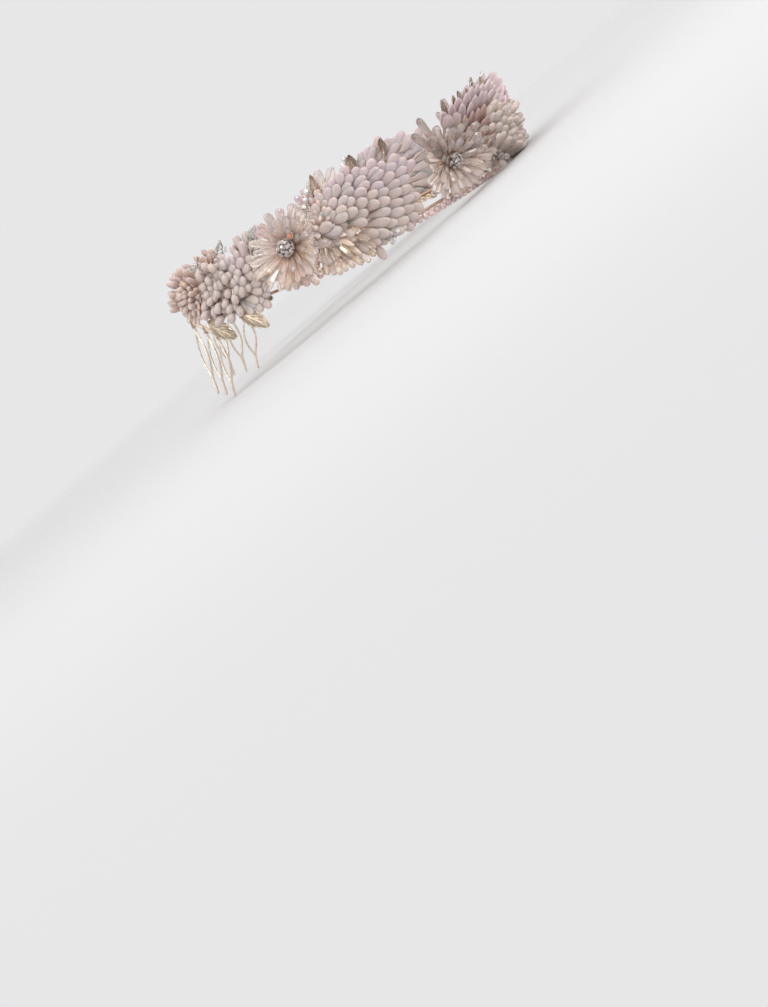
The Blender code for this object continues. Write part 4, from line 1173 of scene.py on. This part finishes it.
# ================================================================ chain
def build_chain():
    s = Shape(120)
    samples = np.linspace(-CHAIN_DEG, CHAIN_DEG, 900)
    pts = []
    for deg in samples:
        a = math.radians(deg)
        outward = unit(np.array([-math.sin(a) / HALF_WIDTH, -math.cos(a) / HALF_LENGTH, 0.0]))
        pts.append(base(deg) + outward * CHAIN_OUT + np.array([0.0, 0.0, 1.72]))
    pts = np.array(pts)
    length = np.concatenate([[0], np.cumsum(np.linalg.norm(np.diff(pts, axis=0), axis=1))])
    pitch = 3.62
    count = int(length[-1] // pitch)
    start = (length[-1] - count * pitch) / 2
    last = None
    for i in range(count + 1):
        d = start + i * pitch
        at = np.array([np.interp(d, length, pts[:, k]) for k in range(3)])
        deg = float(np.interp(d, length, samples))
        e, up, n = frame_at(deg)
        a = math.radians(deg)
        flat_n = unit(np.array([-math.sin(a) / HALF_WIDTH, -math.cos(a) / HALF_LENGTH, 0.0]))
        out = unit(n * 0.5 + flat_n * 0.5)
        across = unit(np.cross(out, UP))
        seat = at - out * 0.25
        put(s, CUP, seat, out, across, (1.62, 1.62, 1.5), GOLD_C * 0.95, 1, True)
        stone_at = seat + out * 0.28
        tone = s.rand(0.82, 1.15)
        put(s, STONE, stone_at, out, across, (1.62, 1.62, 1.7), np.clip(mix(ROSE_C, MAUVE_LIGHT, s.rand(0.0, 0.6)) * tone, 0, 1), 0, False,
            roll=s.rand(0, 45))
        for k in range(4):
            b = math.radians(45 + 90 * k)
            ray = across * math.cos(b) + np.cross(out, across) * math.sin(b)
            tube(s, [seat + ray * 1.62 - out * 0.3, seat + ray * 1.66 + out * 0.35, seat + ray * 1.32 + out * 0.72], 0.20, GOLD_C, 1, 5)
        if last is not None:
            tube(s, [last - out * 0.9, seat - out * 0.9], 0.55, GOLD_C * 0.9, 1, 6)
        last = seat
    emit(s, "stone_chain", [ROSE_STONE, GOLD], 1, "cup_chain")


# ================================================================ headband and wires
def build_headband():
    s = Shape(130)
    path = [band_point(deg) for deg in np.linspace(-BAND_DEG, BAND_DEG, 220)]
    tube(s, path, 0.62, mix(GOLD_C, COPPER_C, 0.5), 0, 10)
    coil(s, path, 0.72, 0.14, 0.80, COPPER_C, 1, 8, 4)
    for end in (path[0], path[-1]):
        put(s, BALL, end, np.array([0, 0, 1.0]), np.array([1.0, 0, 0]), (1.0, 1.0, 1.0), GOLD_C, 0, True)
    emit(s, "wound_headband", [GOLD, COPPER], 1, "headband")


def stem_points(along, height, foot, out=VINE_OUT):
    end = edge_height(foot) + BAND_UP + BAND_WIRE
    drop = height - end
    if drop < 3.0:
        return [wall(along, height, out), wall(along, height, 0.2), wall(along, end + 0.2, STEM_OUT)]
    return [wall(along, height + 0.4, out), wall(along, height - min(2.0, drop * 0.3), 0.0),
            wall(along + (foot - along) * 0.35, height - max(3.5, drop * 0.4), STEM_OUT), wall(foot, end, STEM_OUT - 0.4)]


SPOKES = {
    "side": ((113.0, 31.0), 110.0, ((97, 22), (77, 30), (57, 38), (38, 42), (19, 38), (0, 32), (-28, 20))),
    "back": ((186.0, -1.5), 186.0, ((88, 14), (70, 18), (50, 32), (28, 34), (6, 34), (-18, 24), (-38, 13))),
    "end": ((206.0, -2.5), 206.0, ((178, 12), (130, 10), (80, 9), (20, 9), (-130, 8), (-60, 14))),
    "knot": ((121.5, 33.0), 123.5, ((100, 15), (-80, 14), (-30, 18), (20, 12))),
}


def build_wires(side):
    tag = "r" if side > 0 else "l"
    s = Shape(140 if side > 0 else 141)
    for name, ((along, height), foot, spokes) in SPOKES.items():
        stem = smooth_path(stem_points(along, height, foot), 16)
        tube(s, stem, 0.5, COPPER_C, 1, 7)
        coil(s, stem, 0.62, 0.14, 0.5, COPPER_C, 1, 7, 4)
        for angle, reach in spokes:
            t = math.radians(angle)
            pts = [wall(along - r * math.cos(t), height + r * math.sin(t), 0.1) for r in np.linspace(0, reach * 0.88, 5)]
            tube(s, smooth_path(pts, 12), 0.3, mix(COPPER_C, GOLD_C, 0.3), 1, 6)
    for name, (along, height) in FLOWERS.items():
        small = name == "brow"
        foot = along
        pts = stem_points(along, height, foot, 2.2)
        stem = smooth_path(pts, 16)
        tube(s, stem, 0.55, COPPER_C, 1, 7)
        coil(s, stem, 0.66, 0.14, 0.5, COPPER_C, 1, 7, 4)
        e, d, n = frame_at(deg_at(along))
        centre = wall(along, height, HUB_OUT)
        ring = []
        turns = 4
        for i in range(turns * 16):
            a = 2 * math.pi * i / 16
            r = (2.4 if small else 3.3) - 0.25 * i / 16
            ring.append(centre + (e * math.cos(a) + d * math.sin(a)) * r + n * (0.25 * i / 16))
        tube(s, ring, 0.2, COPPER_C, 1, 5)
        put(s, BALL, centre + n * 0.9, n, e, ((2.2 if small else 3.0), 0.7, (2.2 if small else 3.0)), mix(COPPER_C, GOLD_C, 0.4), 1, True)
    # level wire that carries the crest
    pts = [wall(a, 75.5 if a > 8 else 73.0, VINE_OUT) for a in np.linspace(0.0, 55.0, 14)]
    tube(s, smooth_path(pts, 40), 0.5, mix(COPPER_C, GOLD_C, 0.5), 1, 7)
    tube(s, smooth_path(stem_points(41.0, 75.5, 41.5), 16), 0.5, COPPER_C, 1, 7)
    tube(s, smooth_path(stem_points(11.5, 61.5, 11.5), 16), 0.5, COPPER_C, 1, 7)
    tube(s, smooth_path(stem_points(11.0, 73.0, 11.5), 16), 0.5, COPPER_C, 1, 7)
    emit(s, "binding_wires_" + tag, [GOLD, COPPER], side)


# ================================================================ combs
COMB_TOP = (np.array([-22.0, 80.2, 41.6]), np.array([-39.4, 70.2, 29.4]))
COMB_TIP = (np.array([-25.0, 93.3, 6.1]), np.array([-38.0, 84.4, 0.4]))
COMB_BOW = 3.5
COMB_SPLIT = (0.16, 0.76)
COMB_POSTS = (0.12, 0.88)


def build_comb(side):
    tag = "r" if side > 0 else "l"
    s = Shape(150)
    bar_line = unit(COMB_TOP[1] - COMB_TOP[0])
    down = unit(COMB_TIP[0] + COMB_TIP[1] - COMB_TOP[0] - COMB_TOP[1])
    face = unit(np.cross(bar_line, down))
    for i in range(3):
        f = i / 2
        top = mix(COMB_TOP[0], COMB_TOP[1], f)
        tip = mix(COMB_TIP[0], COMB_TIP[1], f)
        along = tip - top
        axis = unit(along)
        wide = unit(bar_line - axis * float(bar_line @ axis))
        start, meet = COMB_SPLIT
        for sign, wire in ((-1, 0.52), (1, 0.66)):
            pts, taper = [], []
            for t in np.linspace(0.0, 1.0, 34):
                q = min(1.0, max(0.0, (t - start) / (meet - start)))
                bow = math.sin(math.pi * q) ** 0.9 * (1.0 if sign < 0 else 0.9)
                spread_ = sign * (COMB_BOW * bow + 0.30 * (1 - min(1.0, max(0.0, (t - meet) / 0.2))))
                lift = 0.35 * math.sin(math.pi * min(1.0, t / 0.8))
                pts.append(top + along * t + wide * spread_ + face * lift * 0.4)
                taper.append(1.0 if t < 0.9 else 1.0 - 0.35 * (t - 0.9) / 0.1)
            tube(s, pts, wire, mix(GOLD_C, SILVER_C, 0.35), 0, 9, taper)
        # solder that fills the join above the tip
        pts = [top + along * t for t in np.linspace(meet + 0.005, 1.0, 10)]
        tube(s, pts, 0.78, mix(GOLD_C, SILVER_C, 0.35), 0, 9, [0.7, 0.95, 1.0, 1.0, 1.0, 0.98, 0.95, 0.9, 0.85, 0.72], 0.85)
        # thin wire wound over the tooth's root
        coil(s, [top + along * t for t in np.linspace(-0.02, 0.09, 8)], 1.0, 0.16, 0.42, COPPER_C, 1, 9, 4)
    ends = [COMB_TOP[0] - bar_line * 4.5, COMB_TOP[1] + bar_line * 4.5]
    # flat bar with rounded edges
    prof = []
    for a in np.linspace(0, 2 * math.pi, 16, endpoint=False):
        cx, cy = math.cos(a), math.sin(a)
        prof.append((1.3 * math.copysign(abs(cx) ** 0.4, cx), 0.6 * math.copysign(abs(cy) ** 0.6, cy)))
    upright = unit(np.cross(face, bar_line))
    verts, uv, quads, tris = [], [], [], []
    steps = 24
    for i in range(steps + 1):
        p = mix(ends[0], ends[1], i / steps)
        k = 1.0 if 0 < i < steps else 0.7
        for x, y in prof:
            verts.append(p + upright * x * k + face * y * k)
            uv.append((x, i / steps))
    m = len(prof)
    for i in range(steps):
        for k in range(m):
            j = (k + 1) % m
            quads.append((i * m + k, i * m + j, (i + 1) * m + j, (i + 1) * m + k))
    a, b = len(verts), len(verts) + 1
    verts += [ends[0] - bar_line * 0.25, ends[1] + bar_line * 0.25]
    uv += [(0, 0), (0, 1)]
    for k in range(m):
        j = (k + 1) % m
        tris.append((a, j, k))
        tris.append((b, steps * m + k, steps * m + j))
    s.add(np.array(verts), quads, tris, np.array(uv, float), mix(GOLD_C, SILVER_C, 0.3), 0, True)
    for f in COMB_POSTS:
        low = mix(COMB_TOP[0], COMB_TOP[1], f)
        band = min((band_point(0.5 * i) for i in range(240, int(2 * BAND_DEG))), key=lambda q: float((q - low) @ (q - low)))
        path = smooth_path([low, band + unit(low - band) * 0.6], 8)
        tube(s, path, 0.62, GOLD_C, 0, 8)
        coil(s, path, 0.78, 0.18, 0.46, COPPER_C, 1, 9, 4)
    emit(s, "wire_comb_" + tag, [GOLD, COPPER], side, "comb_" + tag)


# ================================================================ set stones and small accents
# along, height, out, radius, colour kind
SET_STONES = (
    (89.4, 30.0, 4.6, 1.2, "clear"), (86.1, 31.2, 4.8, 1.3, "clear"), (82.8, 32.4, 4.4, 1.2, "clear"), (87.7, 26.8, 4.4, 1.1, "clear"),
    (125.6, 51.0, 4.4, 1.5, "silver"), (126.2, 47.4, 4.6, 1.5, "silver"), (126.8, 43.8, 4.8, 1.5, "silver"),
    (132.6, 31.5, 9.8, 1.45, "orange"),
    (176.0, 14.5, 1.6, 0.9, "silver"), (178.0, 12.0, 1.4, 0.9, "silver"), (174.5, 18.0, 1.0, 0.8, "silver"),
    (33.5, 54.0, 5.4, 1.1, "clear"), (20.5, 55.0, 5.4, 1.0, "clear"), (37.0, 84.0, 2.2, 1.2, "clear"), (36.5, 88.0, 2.0, 1.1, "clear"), (122.5, 25.5, 6.0, 1.5, "clear"),
)


# loops of fine silver wire: along, height, out, radius, turn of the loop
CURLS = (
    (90.6, 29.6, 4.2, 1.9, 20), (87.2, 30.8, 4.8, 2.0, -15), (83.8, 32.0, 4.6, 1.9, 30), (88.6, 26.4, 4.0, 1.7, 60),
    (177.7, 18.6, 2.2, 1.6, 10), (176.6, 15.0, 2.6, 1.5, -25), (180.0, 17.0, 1.8, 1.5, 45), (198.6, 13.0, 2.0, 1.7, 15),
    (202.0, 11.0, 2.2, 1.5, -20), (194.5, 11.0, 2.6, 1.4, 35),     (38.6, 94.5, 0.8, 1.4, 15), (36.4, 91.5, 1.4, 1.3, -20),
)


def build_set_stones(side):
    tag = "r" if side > 0 else "l"
    s = Shape(160)
    for along, height, out, radius, turn in CURLS:
        e, d, n = frame_at(deg_at(along))
        c, k = math.cos(math.radians(turn)), math.sin(math.radians(turn))
        x, y = e * c + n * k, d
        at = wall(along, height, out)
        pts = [wall(along, height - radius, 0.6)]
        for i in range(28):
            a = -0.5 * math.pi + 2 * math.pi * 1.35 * i / 27
            pts.append(at + (x * math.cos(a) + y * math.sin(a)) * radius * (1 - 0.012 * i) + n * (0.03 * i))
        tube(s, smooth_path(pts, 56), 0.19, SILVER_C, 1, 5)
        put(s, BALL_SMALL, pts[-1], n, e, (0.5,) * 3, SILVER_C, 1, True)
    for along, height, out, radius, kind in SET_STONES:
        e, d, n = frame_at(deg_at(along))
        facing = unit(n + e * s.rand(-0.25, 0.25) + d * s.rand(-0.1, 0.3))
        across = unit(np.cross(facing, d))
        at = wall(along, height, out)
        if kind == "silver":
            put(s, BALL, at, facing, across, (radius,) * 3, SILVER_C, 1, True)
            tube(s, [at, wall(along + 0.6, height - 2.0, 0.4), wall(along + 0.8, height - 5.0, 0.2)], 0.25, SILVER_C, 1, 6)
            continue
        colour = CLEAR if kind == "clear" else np.array([0.46, 0.17, 0.08])
        put(s, CUP, at, facing, across, (radius * 1.06, radius * 1.06, radius), SILVER_C if kind == "clear" else GOLD_C, 1, True)
        put(s, STONE, at + facing * radius * 0.12, facing, across, (radius, radius, radius * 1.1), colour, 0, False, roll=s.rand(0, 40))
        for k in range(4):
            b = math.radians(45 + 90 * k)
            ray = across * math.cos(b) + np.cross(facing, across) * math.sin(b)
            tube(s, [at + ray * radius * 1.04 - facing * 0.3, at + ray * radius * 1.06 + facing * radius * 0.2,
                     at + ray * radius * 0.8 + facing * radius * 0.45], 0.16, SILVER_C, 1, 5)
        tube(s, [at - facing * radius * 0.8, wall(along, height, 0.4)], 0.3, SILVER_C, 1, 6)
    emit(s, "set_stones_" + tag, [RHINESTONE, SILVER], side)


for side in (1, -1):
    build_side_spray(side)
    build_back_spray(side)
    build_crest(side)
    build_brow_spray(side)
    for name in FLOWERS:
        build_flower(name, side)
    build_end_cluster(side)
    build_side_cluster(side)
    for name in LEAVES:
        build_leaf(name, side)
    build_wires(side)
    build_comb(side)
    build_set_stones(side)
centre_leaf = Shape(110)
add_leaf(centre_leaf, *LEAF_CENTRE)
emit(centre_leaf, "gold_leaf_centre", [LEAF_GOLD], 1, "leaf_centre")
build_chain()
build_headband()


# ================================================================ floor, light and camera
def build_floor():
    verts, faces = [(0.0, 0.0, 0.0)], []
    rings = (0.15, 0.35, 0.7, 1.2, 2.0, 3.2, 5.0, 8.0)
    sides = 64
    for r in rings:
        for i in range(sides):
            a = 2 * math.pi * i / sides
            verts.append((r * math.cos(a), r * math.sin(a), 0.0))
    for i in range(sides):
        faces.append((0, 1 + i, 1 + (i + 1) % sides))
    for k in range(len(rings) - 1):
        for i in range(sides):
            j = (i + 1) % sides
            a, b = 1 + k * sides + i, 1 + k * sides + j
            faces.append((a, a + sides, b + sides, b))
    mesh = bpy.data.meshes.new("floor")
    mesh.from_pydata(verts, [], faces)
    mat, nodes, links, bsdf = principled("pale_floor")
    noise = link_noise(nodes, links, 6.0, 2.0)
    ramp = nodes.new("ShaderNodeMix")
    ramp.data_type = "RGBA"
    ramp.inputs["A"].default_value = (0.645, 0.645, 0.651, 1.0)
    ramp.inputs["B"].default_value = (0.657, 0.657, 0.661, 1.0)
    links.new(noise.outputs["Fac"], ramp.inputs["Factor"])
    links.new(ramp.outputs["Result"], bsdf.inputs["Base Color"])
    bsdf.inputs["Roughness"].default_value = 0.85
    bsdf.inputs["Specular IOR Level"].default_value = 0.2
    mesh.materials.append(mat)
    obj = bpy.data.objects.new("floor", mesh)
    bpy.context.scene.collection.objects.link(obj)
    # fades out far from the object, so that no edge shows
    coord = nodes.new("ShaderNodeTexCoord")
    length = nodes.new("ShaderNodeVectorMath")
    length.operation = "LENGTH"
    links.new(coord.outputs["Object"], length.inputs[0])
    fade = nodes.new("ShaderNodeMapRange")
    fade.interpolation_type = "SMOOTHSTEP"
    fade.inputs["From Min"].default_value = 0.30
    fade.inputs["From Max"].default_value = 0.95
    fade.inputs["To Min"].default_value = 1.0
    fade.inputs["To Max"].default_value = 0.0
    links.new(length.outputs["Value"], fade.inputs["Value"])
    links.new(fade.outputs["Result"], bsdf.inputs["Alpha"])


def build_world():
    world = bpy.data.worlds.new("studio")
    bpy.context.scene.world = world
    world.use_nodes = True
    nodes, links = world.node_tree.nodes, world.node_tree.links
    nodes.clear()
    out = nodes.new("ShaderNodeOutputWorld")
    seen = nodes.new("ShaderNodeBackground")
    seen.inputs["Color"].default_value = (0.80, 0.80, 0.81, 1.0)
    lit = nodes.new("ShaderNodeBackground")
    coord = nodes.new("ShaderNodeTexCoord")
    split = nodes.new("ShaderNodeSeparateXYZ")
    links.new(coord.outputs["Generated"], split.inputs["Vector"])
    ramp = nodes.new("ShaderNodeValToRGB")
    ramp.color_ramp.elements[0].position = 0.30
    ramp.color_ramp.elements[0].color = (0.68, 0.66, 0.65, 1)
    ramp.color_ramp.elements[1].position = 1.0
    ramp.color_ramp.elements[1].color = (1.0, 1.0, 1.0, 1)
    for place, level in ((0.46, 0.50), (0.53, 0.50), (0.57, 1.05), (0.70, 1.08), (0.73, 0.66), (0.80, 0.66), (0.84, 1.12)):
        stop = ramp.color_ramp.elements.new(place)
        stop.color = (level, level * 0.985, level * 0.98, 1)
    shift = nodes.new("ShaderNodeMath")
    shift.operation = "MULTIPLY_ADD"
    shift.inputs[1].default_value = 0.5
    shift.inputs[2].default_value = 0.5
    links.new(split.outputs["Z"], shift.inputs[0])
    links.new(shift.outputs[0], ramp.inputs["Fac"])
    links.new(ramp.outputs["Color"], lit.inputs["Color"])
    lit.inputs["Strength"].default_value = 0.90
    path = nodes.new("ShaderNodeLightPath")
    mixer = nodes.new("ShaderNodeMixShader")
    links.new(path.outputs["Is Camera Ray"], mixer.inputs["Fac"])
    links.new(lit.outputs[0], mixer.inputs[1])
    links.new(seen.outputs[0], mixer.inputs[2])
    links.new(mixer.outputs[0], out.inputs["Surface"])


def area_light(name, place, aim_at, size, power, colour=(1, 1, 1)):
    light = bpy.data.lights.new(name, "AREA")
    light.shape = "DISK"
    light.size = size
    light.energy = power
    light.color = colour
    obj = bpy.data.objects.new(name, light)
    obj.location = place
    obj.rotation_euler = (Vector(aim_at) - Vector(place)).to_track_quat("-Z", "Y").to_euler()
    bpy.context.scene.collection.objects.link(obj)


def build_camera():
    azimuth, elevation, distance, roll = math.radians(-80.0), math.radians(2.5), 1.2, math.radians(40.7)
    focal_px, anchor_px = 2400.0, (334.0, 230.0)
    anchor = np.array([0.0, CENTRE_Y * MM, 0.028])
    away = np.array([math.sin(azimuth) * math.cos(elevation), -math.cos(azimuth) * math.cos(elevation), math.sin(elevation)])
    place = anchor + away * distance
    forward = -away
    right = unit(np.cross(forward, np.array([0.0, 0.0, 1.0])))
    up = np.cross(right, forward)
    r = math.cos(roll) * right - math.sin(roll) * up
    u = math.sin(roll) * right + math.cos(roll) * up
    v = unit(np.array([anchor_px[0] - 384.0, 503.5 - anchor_px[1], focal_px]))
    frame0 = np.stack([r, u, forward], axis=1)
    seen = frame0 @ v
    axis = np.cross(seen, forward)
    turn = Matrix.Rotation(math.atan2(float(np.linalg.norm(axis)), float(seen @ forward)), 3, Vector(unit(axis)))
    m = np.array(turn) @ frame0
    pivot = (wall(115.0, 33.0, 4.0) + np.array([0.0, CENTRE_Y, 0.0])) * MM
    lower = np.array(Matrix.Rotation(math.radians(1.4), 3, Vector(right)))
    place = pivot + lower @ (place - pivot)
    m = lower @ m
    cam = bpy.data.cameras.new("camera")
    cam.sensor_width = 36.0
    cam.lens = focal_px * 36.0 / 1007.0
    cam.clip_start, cam.clip_end = 0.01, 50.0
    obj = bpy.data.objects.new("camera", cam)
    bpy.context.scene.collection.objects.link(obj)
    obj.matrix_world = Matrix((
        (m[0][0], m[0][1], -m[0][2], place[0]),
        (m[1][0], m[1][1], -m[1][2], place[1]),
        (m[2][0], m[2][1], -m[2][2], place[2]),
        (0, 0, 0, 1)))
    bpy.context.scene.camera = obj


build_floor()
build_world()
area_light("key", (-0.75, -0.55, 0.85), (0, 0, 0.03), 0.55, 3.2, (1.0, 0.985, 0.97))
area_light("spark", (-1.0, -0.25, 0.55), (0, 0, 0.03), 0.12, 0.45)
area_light("glint", (-0.75, 0.45, 0.75), (0, 0, 0.03), 0.10, 0.30)
area_light("fill", (-0.6, 0.85, 0.55), (0, 0, 0.03), 0.7, 1.6)
area_light("brow", (-0.45, -1.0, 0.30), (0, -0.06, 0.03), 0.6, 2.3, (1.0, 0.97, 0.95))
area_light("far", (0.85, -0.1, 0.75), (0, 0, 0.03), 0.6, 1.3)
area_light("top", (0.0, 0.0, 1.3), (0, 0, 0.0), 0.9, 1.1)
build_camera()
bpy.context.scene.view_settings.view_transform = "Standard"
bpy.context.scene.view_settings.look = "None"
